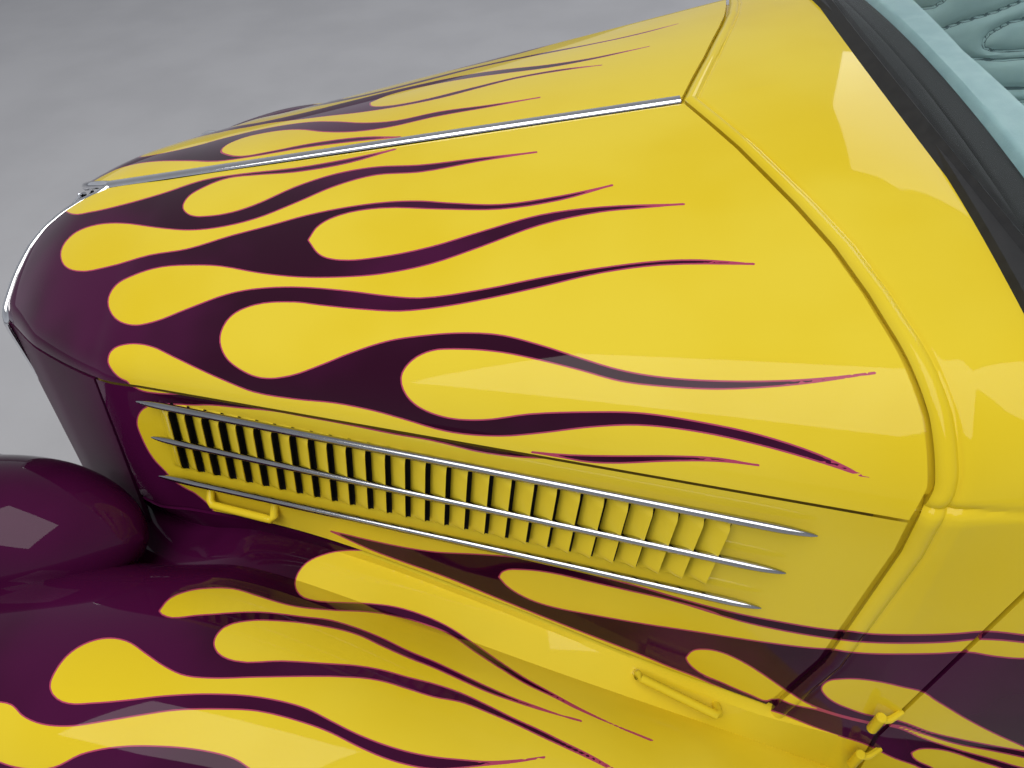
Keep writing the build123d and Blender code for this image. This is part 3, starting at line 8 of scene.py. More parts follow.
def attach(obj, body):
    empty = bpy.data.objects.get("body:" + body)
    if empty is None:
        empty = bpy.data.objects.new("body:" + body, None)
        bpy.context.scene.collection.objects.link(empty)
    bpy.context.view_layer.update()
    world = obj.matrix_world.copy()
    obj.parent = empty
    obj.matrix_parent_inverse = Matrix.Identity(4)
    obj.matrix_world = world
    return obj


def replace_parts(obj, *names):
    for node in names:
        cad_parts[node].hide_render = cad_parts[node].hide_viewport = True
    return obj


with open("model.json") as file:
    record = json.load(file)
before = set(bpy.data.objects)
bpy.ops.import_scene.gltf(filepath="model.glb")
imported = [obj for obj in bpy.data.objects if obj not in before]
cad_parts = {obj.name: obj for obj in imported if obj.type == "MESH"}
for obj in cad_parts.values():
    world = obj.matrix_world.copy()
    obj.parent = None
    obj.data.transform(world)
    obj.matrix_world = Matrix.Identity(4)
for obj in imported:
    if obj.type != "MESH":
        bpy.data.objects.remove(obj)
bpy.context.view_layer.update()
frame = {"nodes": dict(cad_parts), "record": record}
bpy.ops.object.select_all(action="DESELECT")
nodes = frame["nodes"]

# Sizes in millimetres, x, y outward and z up, as in the car's source. Side "left" is -y in the frame.
MM = 0.001
NOSE_X = -1655
FRONT_AXLE_X = -1555
REAR_AXLE_X = 1290
HOOD_LENGTH = 959
HOOD_GAP = 6
HOOD_ROWS = [
    (-150, 925, 196, 855, 0.08, 0.12),
    (-100, 952, 238, 868, 0.12, 0.10),
    (-20, 977, 302, 880, 0.17, 0.06),
    (128, 994, 384, 894, 0.22, 0.0),
    (200, 1003, 402.7, 898, 0.213, 0.0),
    (420, 1028, 459.5, 910.5, 0.19, 0.0),
    (780, 1071, 553, 931, 0.15, 0.0),
    (1160, 1116, 652, 953, 0.12, 0.0),
]
HOOD_LOW_EDGE = [(60, 660), (300, 684), (460, 678), (690, 634), (880, 586), (1056, 552), (1200, 520)]
GRILLE_PLAN = [(8, 0), (-48, 22), (-84, 42), (-112, 66), (-130, 100), (-138, 148), (-140, 201)]
BODY_ROWS = [
    (-720, 1090, 598, 940, 690, 300),
    (-430, 1128, 655, 978, 741, 300),
    (0, 1150, 682, 1000, 752, 300),
    (480, 1140, 672, 1000, 748, 300),
    (900, 1062, 622, 935, 712, 300),
    (1400, 910, 520, 785, 620, 330),
    (1800, 730, 420, 615, 520, 360),
    (2065, 560, 330, 450, 420, 400),
]
COCKPIT = [(-320, 0), (-297.5, 456), (-230, 613.5), (-50, 636), (460, 636), (617.5, 546), (640, 366), (640, 0)]
FRONT_FENDER_ROWS = [
    (-570, 600, 405, 630, 420, 695, 440, 760, 405),
    (-500, 520, 390, 575, 440, 703, 570, 825, 400),
    (-350, 440, 440, 525, 490, 722, 685, 868, 480),
    (-120, 360, 560, 500, 585, 745, 758, 886, 600),
    (80, 438, 606, 520, 622, 757, 776, 890, 640),
    (220, 484, 664, 545, 664, 765, 770, 890, 620),
    (420, 535, 652, 595, 644, 772, 728, 888, 540),
    (680, 608, 598, 655, 582, 778, 632, 880, 440),
    (920, 680, 548, 700, 505, 756, 514, 872, 372),
    (1073, 706, 520, 716, 420, 756, 427, 868, 335),
]
# Louvres: how many, first opening behind the nose point, pitch; half height, tilt, opening, lift of the flap
LOUVRES, LOUVRE_FIRST, LOUVRE_PITCH = 28, 230, 26.7
LOUVRE_HALF, LOUVRE_TILT, LOUVRE_SLOT, LOUVRE_LIFT = 60, 0.14, 5.0, 13.5
# Bright strips on the hood side: x and z behind the nose point at the front end, then at the rear end
SIDE_STRIPS = [(190, 879, 1040, 913), (190, 818, 1022, 844), (174, 743, 1008, 773)]

# The photograph's camera: place, aim and focal length in the frame of a 1024 by 768 picture
CAMERA_AT = (-870.0, -1041.0, 1553.0)
CAMERA_YAW, CAMERA_PITCH, CAMERA_ROLL = radians(-6.61), radians(45.49), radians(-4.92)
FOCAL = 696.78
PICTURE = (1024, 768)


def row_at(rows, x):
    """All columns of a table at each x, on a smooth curve through its rows."""
    table = np.array(rows, float)
    xs = table[:, 0]
    x = np.asarray(x, float)
    index = np.clip(np.searchsorted(xs, x, side="left") - 1, 0, len(xs) - 2)
    steps = np.arange(len(xs))
    before, after = np.maximum(steps - 1, 0), np.minimum(steps + 1, len(xs) - 1)
    slopes = (table[after] - table[before]) / (xs[after] - xs[before])[:, None]
    span = (xs[index + 1] - xs[index])[..., None]
    t = (x - xs[index])[..., None] / span
    rise = table[index + 1] - table[index]
    out, into = slopes[index] * span, slopes[index + 1] * span
    values = table[index] + t * (out + t * (3 * rise - 2 * out - into + t * (out + into - 2 * rise)))
    return np.moveaxis(values, -1, 0)


def hood_rear(y, z):
    """x behind the nose point of the hood's rear edge, bowed across the top and leaning forward down the side."""
    bow = np.interp(y, (0, 154, 293, 372, 447, 496, 583, 626, 640), (0, 17, 25, 26, 20, 13, 4, -4, -10))
    lean = np.interp(z, (400, 548, 685, 764, 903, 950, 985), (-120, -86, -44, -32, -11, -8, 0))
    return HOOD_LENGTH + 0.228 * y + 0.052 / 600 * y * y + bow + lean


def crown_point(z_top, y_end, z_end, radius, angle, s):
    """y and z at share s of the way from the centreline to the shoulder."""
    run = y_end - radius * np.sin(angle)
    fall = z_top - z_end + radius * np.cos(angle) - radius
    turn = 2 * np.arctan(fall / run)
    offset = run / np.sin(turn)
    flat = offset + radius
    first, second = flat * turn, radius * (angle - turn)
    along = s * (first + second)
    a = turn * np.minimum(along / first, 1)
    b = turn + np.maximum(along - first, 0) / radius
    on_flat = along <= first
    y = np.where(on_flat, flat * np.sin(a), run + radius * np.sin(b))
    z = np.where(on_flat, z_top - flat + flat * np.cos(a), z_top - flat + offset * np.cos(turn) + radius * np.cos(b))
    return y, z


# Flame outlines traced in the photograph's pixels. Inside an outline is dark; the cuts are yellow again.
HOOD_TOP_FLAME = [
    (-260, 60), (63, 150), (63, 208), (72, 214), (91, 212), (118, 206), (161, 194), (204, 180), (241, 174),
    (295, 168), (348, 159), (396, 149), (348, 163), (295, 172), (254, 175), (228, 178), (204, 187), (187, 198),
    (183, 208), (190, 215), (209, 216), (233, 212), (257, 204), (295, 187), (335, 174), (375, 167), (420, 165),
    (480, 158), (537, 152), (480, 161), (420, 172), (375, 175), (335, 186), (295, 203), (254, 219), (214, 228),
    (187, 230), (161, 228), (118, 223), (91, 226), (72, 235), (61, 251), (64, 265), (77, 271), (107, 267),
    (150, 255), (187, 249), (230, 236), (268, 226), (308, 215), (348, 207), (388, 202), (420, 201), (450, 203),
    (500, 204.5), (560, 196), (613, 185), (560, 200), (500, 209), (440, 209), (380, 208), (340, 215), (318, 226),
    (308, 240), (320, 255), (340, 260), (380, 257), (430, 247), (480, 232), (540, 215), (600, 207), (685, 204),
    (640, 208), (600, 212), (540, 225), (480, 247), (430, 264), (380, 274), (340, 277), (300, 277), (260, 273),
    (220, 266), (198, 265), (161, 267), (134, 275), (115, 286), (108, 302), (115, 318), (131, 325), (153, 322),
    (187, 309), (228, 294), (254, 289), (295, 287), (348, 291), (388, 296), (420, 298), (480, 290), (540, 278),
    (600, 268), (660, 261), (700, 260), (755, 264), (660, 265), (600, 273), (540, 287), (480, 300), (440, 307),
    (400, 311), (360, 309), (320, 305), (295, 302), (254, 305), (230, 317), (220, 337), (225, 356), (241, 370),
    (262, 378), (289, 376), (321, 365), (348, 354), (388, 341), (420, 336), (460, 333), (500, 335), (540, 345),
    (580, 358), (620, 370), (660, 377), (720, 381), (800, 380), (875, 373), (800, 384), (720, 389), (660, 386),
    (620, 381), (580, 370), (540, 360), (500, 352), (460, 349), (430, 351), (410, 362), (401, 378), (410, 400),
    (440, 416), (480, 420), (530, 414), (590, 412), (640, 413), (700, 422), (760, 435), (820, 455), (868, 478),
    (820, 462), (760, 445), (700, 432), (640, 425), (590, 427), (540, 433), (500, 436), (450, 432), (400, 418),
    (375, 411), (335, 403), (295, 399), (254, 392), (228, 382), (201, 370), (174, 357), (150, 346), (128, 344),
    (112, 350), (108, 361), (112, 370), (120, 378), (129, 383), (129, 420), (-260, 420),
]
SEAM_LICK = [
    (531, 452), (570, 455), (618, 456), (667, 456), (715, 458), (759, 465), (715, 461), (667, 461), (618, 463),
    (589, 462), (560, 457),
]
HOOD_SIDE_FRONT = [
    (-100, 330), (129, 370), (129, 382), (140, 390), (155, 393), (177, 394), (203, 394), (240, 399), (240, 385),
    (531, 445), (560, 457), (550, 458), (486, 453), (430, 440), (394, 434), (350, 425), (307, 417), (274, 411),
    (242, 408), (211, 405), (194, 405), (166, 404), (153, 405), (142, 410), (137, 421), (142, 438), (153, 458),
    (166, 472), (173, 480), (185, 488), (196, 494), (215, 515), (200, 600), (-100, 600),
]
BODY_SIDE_FLAME = [
    (330, 531), (344, 534), (369, 540), (408, 548), (435, 552), (474, 554), (513, 557), (552, 563), (591, 574),
    (644, 588), (696, 603), (740, 614), (776, 621), (832, 630), (849, 631), (867, 633.5), (894, 634.7),
    (930, 634.6), (957, 633.5), (988, 631.3), (1024, 634.9), (1100, 643), (1200, 655), (1300, 660), (1480, 640),
    (1300, 688), (1200, 697), (1120, 690), (1075, 672), (1100, 668), (1140, 678), (1090, 700), (1062, 718),
    (1060, 734), (1085, 752), (1180, 765), (1300, 768), (1460, 752), (1320, 790), (1200, 805), (1110, 800),
    (1060, 795), (1040, 792), (1080, 808), (1180, 835), (1290, 850), (1200, 852), (1080, 835), (965, 790),
    (914, 765), (894, 758), (865, 744), (840, 736), (812, 726), (785, 715), (758, 706), (740, 697), (696, 677),
    (670, 667), (644, 656), (591, 635.5), (539, 615), (497, 598), (461, 583), (435, 573), (408, 563.6), (369, 549),
]
BODY_CUT_A = [
    (498.7, 577), (502.6, 571.5), (523.5, 569.6), (552, 573), (591.5, 582), (631, 591), (670, 600), (740, 621),
    (785, 631), (827, 638), (843, 640), (858, 641.6), (885, 643), (921, 643), (948, 642), (979, 639.3),
    (1024, 642.5), (1075, 652), (1024, 658.5), (993, 656), (968, 652), (939, 653.4), (903, 654), (876, 653.8),
    (849, 652), (830.6, 649), (817, 648.3), (794, 646), (767, 642.5), (740, 638.5), (696, 631.6), (644, 623.8),
    (591.5, 614.6), (552, 606.8), (528.7, 599), (508, 587),
]
BODY_CUT_B = [
    (685.6, 658), (692, 651), (706.6, 649.4), (722, 652.5), (740, 660.4), (756, 669.7), (782.6, 687.8), (792, 694),
    (803, 701), (821, 709), (840, 715), (858, 719.5), (878, 723.7), (901, 726), (921, 733), (957, 744),
    (993.6, 751), (1024, 757.5), (1100, 775), (1024, 768), (993.6, 759.4), (957, 749.4), (921, 737.6),
    (897.6, 727.7), (866.8, 723), (841, 716.8), (816, 709.5), (794, 705), (773.5, 698.5), (767, 701), (751, 695),
    (740, 690.5), (722, 682.6), (701, 673.4), (689.6, 664.3),
]
BODY_CUT_C = [
    (821.5, 687.8), (827, 681.5), (841, 679), (858, 679), (881, 682), (903, 687), (925.7, 693), (932, 697.8),
    (948, 707.7), (966, 718.6), (993.6, 733), (1024, 746.7), (1045, 756), (1024, 751.2), (984.5, 744),
    (957, 738.5), (930, 732), (903, 722), (885, 717.7), (867, 714.6), (849, 708.6), (834, 702), (825, 695),
]
BODY_CUT_D = [
    (911, 753), (917.5, 749.4), (930, 748.5), (948, 751), (975.5, 760), (1001, 768), (1060, 795), (1010, 800),
    (960, 785), (932, 767.5), (914, 758.5),
]
FENDER_FLAME = [
    (400, 540), (366.6, 549.7), (345.7, 550.5), (329, 553), (305, 564), (295, 583), (300, 595), (317, 601),
    (330, 602), (369, 603.6), (395, 606.8), (421.5, 614.6), (447.7, 626.4), (473.8, 643.4), (500, 661.7),
    (526, 678.7), (552, 693), (578, 707.4), (604.6, 720.5), (630.7, 732.3), (654.3, 741.4), (578, 709.3),
    (552, 696.2), (526, 683.9), (500, 668), (473.8, 651), (447.7, 633), (421.5, 623), (395.4, 616), (369, 612),
    (330, 610), (293, 606), (258, 596), (235, 589), (211, 588), (188, 591), (169, 599), (159, 611), (164, 616),
    (200, 615), (258, 612), (305, 617), (330, 620), (356, 627.7), (382, 638), (408.5, 651), (434.6, 661.7),
    (460.8, 674), (487, 686.5), (513, 697.8), (539, 707.4), (565, 716.6), (582.4, 721.3), (539, 709.3), (513, 701),
    (487, 691.7), (461, 680), (434.6, 668), (408.5, 657.8), (382, 646), (356, 634), (317, 625), (282, 621),
    (246, 621), (223, 628), (214, 642), (218, 653), (235, 661), (282, 661), (330, 663.8), (356, 665.6), (382, 670),
    (408.5, 677.4), (434.6, 684), (461, 693), (487, 705), (513, 718), (539, 729.7), (565, 742.7), (591.5, 755.8),
    (612, 767.6), (650, 790), (700, 820), (650, 794), (607, 767.6), (591.5, 759.7), (565, 747.4), (539, 735.4),
    (513, 723), (487, 712), (461, 702), (434.6, 697), (408.5, 689), (382, 681), (356, 677.4), (258, 677),
    (211, 678), (183, 675), (164, 666), (145, 653), (129, 642), (110, 638), (89, 642), (70, 653), (56, 670),
    (50, 686), (54, 696), (66, 703), (94, 703), (129, 700), (164, 696), (211, 694), (258, 697), (305, 708),
    (330, 720.5), (356, 733.6), (382, 744), (408.5, 752), (434.6, 757), (461, 759.7), (487, 761.6), (513, 760.5),
    (546.5, 757), (513, 762.5), (487, 765), (461, 767.6), (434.6, 769), (408.5, 765), (382, 757), (356, 745.4),
    (330, 732.3), (305, 723), (258, 711), (223, 709), (176, 710), (141, 715), (99, 722), (70, 726), (42, 724),
    (23, 716), (12, 705), (0, 702), (-20, 703), (-40, 712), (-42, 725), (-30, 742), (-5, 760), (20, 768),
    (52, 768), (82, 754), (117, 747), (153, 746), (200, 750), (235, 759), (249, 768), (300, 800), (380, 842),
    (470, 880), (560, 905), (650, 925), (560, 918), (470, 900), (380, 872), (300, 850), (220, 845), (160, 855),
    (130, 880), (140, 910), (190, 930), (260, 950), (340, 985), (420, 1030), (500, 1080), (420, 1045), (340, 1010),
    (250, 985), (170, 975), (110, 985), (90, 1015), (110, 1050), (180, 1090), (260, 1150), (330, 1230),
    (250, 1180), (170, 1130), (80, 1100), (0, 1110), (-60, 1150), (-80, 1250), (-200, 1500), (-900, 1500),
    (-900, 300), (400, 300),
]
BODY_CUTS = [(-1, BODY_CUT_A), (-1, BODY_CUT_B), (-1, BODY_CUT_C), (-1, BODY_CUT_D)]
FLAMES = {
    "hood_top": [(1, HOOD_TOP_FLAME), (1, SEAM_LICK)],
    "hood_side": [(1, HOOD_SIDE_FRONT), (1, BODY_SIDE_FLAME)] + BODY_CUTS,
    "cowl": [(1, HOOD_TOP_FLAME), (1, BODY_SIDE_FLAME)] + BODY_CUTS,
    "door": [(1, BODY_SIDE_FLAME)] + BODY_CUTS,
    "fender": [(1, FENDER_FLAME)],
}

camera_way = np.array([sin(CAMERA_YAW) * cos(CAMERA_PITCH), cos(CAMERA_YAW) * cos(CAMERA_PITCH), -sin(CAMERA_PITCH)])
side_way = np.cross(camera_way, (0, 0, 1))
side_way /= np.linalg.norm(side_way)
up_way = np.cross(side_way, camera_way)
CAMERA_X = cos(CAMERA_ROLL) * side_way + sin(CAMERA_ROLL) * up_way
CAMERA_Y = -sin(CAMERA_ROLL) * side_way + cos(CAMERA_ROLL) * up_way


def in_picture(points):
    """Picture coordinates and depth of points given as x, y outward, z on the left side."""
    way = points * (1, -1, 1) - CAMERA_AT
    depth = way @ camera_way
    safe = np.where(depth > 100, depth, 100)
    flat = np.stack([PICTURE[0] / 2 + FOCAL * (way @ CAMERA_X) / safe,
                     PICTURE[1] / 2 - FOCAL * (way @ CAMERA_Y) / safe], -1)
    flat[depth <= 100] = 1e5
    return flat, safe


def smooth_outline(points, cuts=4):
    """A closed outline rounded through its points, with its sharp tips kept."""
    points = np.array(points, float)
    count = len(points)
    ahead, behind = np.roll(points, -1, 0) - points, points - np.roll(points, 1, 0)
    long_a, long_b = np.linalg.norm(ahead, axis=1), np.linalg.norm(behind, axis=1)
    cosine = (ahead * behind).sum(1) / np.maximum(long_a * long_b, 1e-9)
    tip = cosine < 0.35
    middle = (ahead * long_b[:, None] + behind * long_a[:, None]) / np.maximum(long_a + long_b, 1e-9)[:, None]
    middle /= np.maximum(np.linalg.norm(middle, axis=1), 1e-9)[:, None]
    out = []
    for k in range(count):
        n = (k + 1) % count
        span = long_a[k]
        start = ahead[k] if tip[k] else middle[k] * span
        end = ahead[k] if tip[n] else middle[n] * span
        for step in range(cuts):
            t = step / cuts
            rise = points[n] - points[k]
            out.append(points[k] + t * (start + t * (3 * rise - 2 * start - end + t * (start + end - 2 * rise))))
    return np.array(out)


def signed_distance(flat, outline):
    """Distance from each picture point to an outline, below zero inside it."""
    nearest = np.full(len(flat), 1e9)
    inside = np.zeros(len(flat), bool)
    for a, b in zip(outline, np.roll(outline, -1, 0)):
        way = b - a
        length = way @ way
        if length < 1e-9:
            continue
        rel = flat - a
        t = np.clip((rel @ way) / length, 0, 1)
        nearest = np.minimum(nearest, ((rel - t[:, None] * way) ** 2).sum(1))
        crosses = (a[1] > flat[:, 1]) != (b[1] > flat[:, 1])
        if crosses.any() and abs(way[1]) > 1e-9:
            reach = a[0] + (flat[:, 1] - a[1]) * way[0] / way[1]
            inside ^= crosses & (flat[:, 0] < reach)
    return np.where(inside, -1, 1) * np.sqrt(nearest)


def line_distance(flat, line):
    nearest = np.full(len(flat), 1e9)
    for a, b in zip(line, line[1:]):
        way = np.subtract(b, a)
        rel = flat - a
        t = np.clip((rel @ way) / (way @ way), 0, 1)
        nearest = np.minimum(nearest, ((rel - t[:, None] * way) ** 2).sum(1))
    return np.sqrt(nearest)


def tip_lines(outline):
    """Short lines from each sharp dark tip of an outline back into its lick."""
    points = np.array(outline, float)
    ahead, behind = np.roll(points, -1, 0) - points, np.roll(points, 1, 0) - points
    long_a, long_b = np.linalg.norm(ahead, axis=1), np.linalg.norm(behind, axis=1)
    sharp = (ahead * behind).sum(1) > 0.9 * long_a * long_b
    back = points + (ahead / long_a[:, None] + behind / long_b[:, None]) * (np.minimum(long_a, long_b) / 2)[:, None]
    inside = signed_distance(back, points) < 0
    return list(zip(points[sharp & inside], back[sharp & inside]))


def flame_value(points, names):
    """Distance in millimetres to the named flames for points on the left side, below zero in the dark."""
    flat, depth = in_picture(points.reshape(-1, 3))
    near = (np.abs(flat) < 6000).all(1)
    value, thin = np.full(len(flat), 1e3), np.full(len(flat), 1e3)
    for name in names:
        for sign, outline in FLAMES[name]:
            distance = signed_distance(flat[near], smooth_outline(outline))
            value[near] = np.minimum(value[near], distance) if sign > 0 else np.maximum(value[near], -distance)
            for line in tip_lines(outline) if sign > 0 else []:
                thin[near] = np.minimum(thin[near], line_distance(flat[near], line))
    return np.minimum(value * depth / FOCAL, thin * depth / FOCAL - TIP_HALF).reshape(points.shape[:-1])


# Sheet metal panels

def grid_normals(grid):
    du, dv = np.gradient(grid, axis=0), np.gradient(grid, axis=1)
    normal = np.cross(du, dv)
    return normal / np.maximum(np.linalg.norm(normal, axis=-1), 1e-9)[..., None]


def skin(grid, depth, coarse):
    """Vertices and faces of a panel with a fine outer side and a coarse inner side, closed round its rim."""
    ni, nj = grid.shape[:2]
    normal = grid_normals(grid)
    if (normal[..., 1].sum() + normal[..., 2].sum()) < 0:
        grid = grid[::-1]
        normal = -normal[::-1]
    rows, columns = list(range(0, ni, coarse)), list(range(0, nj, coarse))
    outer = grid.reshape(-1, 3)
    inner = (grid - normal * depth)[np.ix_(rows, columns)].reshape(-1, 3)
    base, wide = len(outer), len(columns)

    def out(i, j):
        return i * nj + j

    def back(i, j):
        return base + i * wide + j

    faces = [(out(i, j), out(i + 1, j), out(i + 1, j + 1), out(i, j + 1))
             for i in range(ni - 1) for j in range(nj - 1)]
    for i in range(len(rows) - 1):
        for j in range(wide - 1):
            faces.append((back(i, j + 1), back(i + 1, j + 1), back(i + 1, j), back(i, j)))
    for i, start in enumerate(rows[:-1]):
        run = range(start, rows[i + 1] + 1)
        faces.append([out(k, 0) for k in reversed(run)] + [back(i, 0), back(i + 1, 0)])
        faces.append([out(k, nj - 1) for k in run] + [back(i + 1, wide - 1), back(i, wide - 1)])
    last = len(rows) - 1
    for j, start in enumerate(columns[:-1]):
        run = range(start, columns[j + 1] + 1)
        faces.append([out(0, k) for k in run] + [back(0, j + 1), back(0, j)])
        faces.append([out(ni - 1, k) for k in reversed(run)] + [back(last, j), back(last, j + 1)])
    return np.concatenate([outer, inner]), faces


def paint_edge(mesh, value):
    """Store a distance at each point for the paint or the stitching."""
    layer = mesh.attributes.new("paint_edge", "FLOAT", "POINT")
    layer.data.foreach_set("value", np.asarray(value, np.float32).ravel())


def make_mesh(name, points, faces, side, flame=None):
    """A mesh object from points in millimetres, mirrored for the left side."""
    places = np.array(points, float) * MM
    if side == "left":
        places[:, 1] *= -1
        faces = [tuple(reversed(face)) for face in faces]
    mesh = bpy.data.meshes.new(name)
    mesh.from_pydata(places.tolist(), [], faces)
    if flame is not None:
        paint_edge(mesh, flame)
    mesh.polygons.foreach_set("use_smooth", [True] * len(mesh.polygons))
    mesh.update()
    mesh.set_sharp_from_angle(angle=radians(35))
    piece = bpy.data.objects.new(name, mesh)
    bpy.context.scene.collection.objects.link(piece)
    return piece


def sheet(name, grid, side, names=(), way=(0, 1, 1)):
    """A single-sided panel from a grid, its normals turned towards way; names are the flames it carries."""
    ni, nj = grid.shape[:2]
    faces = [(i * nj + j, (i + 1) * nj + j, (i + 1) * nj + j + 1, i * nj + j + 1)
             for i in range(ni - 1) for j in range(nj - 1)]
    if (grid_normals(grid) * way).sum() < 0:
        faces = [tuple(reversed(face)) for face in faces]
    points = grid.reshape(-1, 3)
    return make_mesh(name, points, faces, side, flame_value(points, names) if names else None)


def capped(rings):
    """Points and faces of a tube through rings of points, closed at both ends."""
    rows, sides = rings.shape[:2]
    faces = []
    for i in range(rows - 1):
        for k in range(sides):
            n = (k + 1) % sides
            faces.append((i * sides + k, i * sides + n, (i + 1) * sides + n, (i + 1) * sides + k))
    first, last = rows * sides, rows * sides + 1
    for k in range(sides):
        n = (k + 1) % sides
        faces.append((first, n, k))
        faces.append((last, (rows - 1) * sides + k, (rows - 1) * sides + n))
    return np.concatenate([rings.reshape(-1, 3), [rings[0].mean(0), rings[-1].mean(0)]]), faces


def sweep(path, radius, sides=12, up=(0, 0, 1)):
    """A round bar along a path, its radius given at each point, with closed ends."""
    path = np.array(path, float)
    radius = np.broadcast_to(np.asarray(radius, float), len(path))
    way = np.gradient(path, axis=0)
    way /= np.linalg.norm(way, axis=1)[:, None]
    across = np.cross(way, up)
    across /= np.maximum(np.linalg.norm(across, axis=1), 1e-9)[:, None]
    rise = np.cross(across, way)
    turn = np.linspace(0, 2 * pi, sides, endpoint=False)
    ring = np.cos(turn)[None, :, None] * across[:, None] + np.sin(turn)[None, :, None] * rise[:, None]
    return capped(path[:, None] + ring * radius[:, None, None])


def joined(*parts):
    points, faces, count = [], [], 0
    for more, extra in parts:
        points.append(more)
        faces += [tuple(index + count for index in face) for face in extra]
        count += len(more)
    return np.concatenate(points), faces


def dress(piece, body, slot, *materials):
    for material in materials:
        piece.data.materials.append(material)
    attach(piece, body)
    return piece


def add(name, part, side, body, slot, material):
    """A dressed piece from its points and faces, on one side."""
    return dress(make_mesh(name, *part, side), body, slot, finish[material])


# Materials

class Value:
    """A shader socket that takes part in sums, so that a pattern reads as an expression."""

    def __init__(self, made, socket):
        self.made, self.socket = made, socket

    def math(self, operation, *others):
        return self.made.node("ShaderNodeMath", {"operation": operation}, self, *others)

    def __add__(self, other):
        return self.math("ADD", other)

    __radd__ = __add__

    def __sub__(self, other):
        return self.math("SUBTRACT", other)

    def __rsub__(self, other):
        return self.made.node("ShaderNodeMath", {"operation": "SUBTRACT"}, other, self)

    def __mul__(self, other):
        return self.math("MULTIPLY", other)

    __rmul__ = __mul__

    def __lt__(self, other):
        return self.math("LESS_THAN", other)

    def __gt__(self, other):
        return self.math("GREATER_THAN", other)

    def size(self):
        return self.math("ABSOLUTE")

    def between(self, low, high):
        return self.made.node("ShaderNodeMapRange", {"interpolation_type": "SMOOTHSTEP"}, self, low, high, 0.0, 1.0)


class Finish:
    """A material with one Principled shader, and a short way to add nodes to it."""

    def __init__(self, name, **constants):
        self.material = bpy.data.materials.new(name)
        self.material.use_nodes = True
        self.tree = self.material.node_tree
        self.shader = self.tree.nodes["Principled BSDF"]
        for key, value in constants.items():
            self.shader.inputs[key.replace("_", " ")].default_value = value

    def node(self, kind, settings, *values, output=0, **named):
        made = self.tree.nodes.new(kind)
        for key, value in settings.items():
            if key == "stops":
                ramp = made.color_ramp
                while len(ramp.elements) < len(value):
                    ramp.elements.new(0.5)
                for element, (place, color) in zip(ramp.elements, value):
                    element.position, element.color = place, color
            else:
                setattr(made, key, value)
        for index, value in enumerate(values):
            self.plug(made.inputs[index], value)
        for key, value in named.items():
            self.plug(made.inputs[key.replace("_", " ")], value)
        return Value(self, made.outputs[output])

    def plug(self, socket, value):
        if isinstance(value, Value):
            self.tree.links.new(value.socket, socket)
        elif value is not None:
            socket.default_value = value

    def mix(self, share, first, second):
        made = self.tree.nodes.new("ShaderNodeMix")
        made.data_type = "RGBA"
        for socket, value in ((made.inputs[0], share), (made.inputs[6], first), (made.inputs[7], second)):
            self.plug(socket, value)
        return Value(self, made.outputs[2])

    def place(self):
        return self.node("ShaderNodeTexCoord", {}, output=3)

    def noise(self, scale, detail=4.0, rough=0.5):
        return self.node("ShaderNodeTexNoise", {}, Vector=self.place(), Scale=scale, Detail=detail, Roughness=rough)

    def bump(self, height, distance, strength=1.0):
        return self.node("ShaderNodeBump", {}, Height=height, Distance=distance, Strength=strength)

    def set(self, **values):
        for key, value in values.items():
            self.plug(self.shader.inputs[key.replace("_", " ")], value)
        return self


YELLOW = (0.76, 0.585, 0.040, 1)
YELLOW_WARM = (0.72, 0.53, 0.018, 1)
PURPLE = (0.026, 0.002, 0.014, 1)
PURPLE_LIGHT = (0.060, 0.004, 0.038, 1)
PINSTRIPE = (0.42, 0.055, 0.12, 1)
STRIPE_HALF = 0.9
TIP_HALF = 0.5


def paint(name, flames):
    made = Finish(name, Specular_IOR_Level=0.0, Coat_Weight=1.0, Coat_Roughness=0.035, Coat_IOR=1.27)
    cloud = made.noise(3.0, 3.0)
    color = made.mix(cloud.between(0.35, 0.7), YELLOW, YELLOW_WARM)
    if flames:
        value = made.node("ShaderNodeAttribute", {"attribute_name": "paint_edge"}, output=2)
        dark = value < 0.0
        purple = made.mix(cloud.between(0.4, 0.65), PURPLE, PURPLE_LIGHT)
        color = made.mix(dark, color, purple)
        stripe = value.size() < STRIPE_HALF
        color = made.mix(stripe, color, PINSTRIPE)
    grain = made.noise(900.0, 2.0)
    made.set(Base_Color=color, Roughness=0.22 + 0.06 * cloud, Normal=made.bump(grain, 0.00002))
    return made.material


def plain(name, color, second, rough, metal, scale, bump_height, **constants):
    """A finish whose colour and gloss vary a little over the surface, with a fine grain."""
    made = Finish(name, **constants)
    cloud = made.noise(scale, 5.0)
    grain = made.noise(scale * 12, 3.0)
    made.set(Base_Color=made.mix(cloud.between(0.3, 0.7), color, second),
             Roughness=rough[0] + (rough[1] - rough[0]) * cloud, Metallic=metal,
             Normal=made.bump(grain, bump_height))
    return made.material


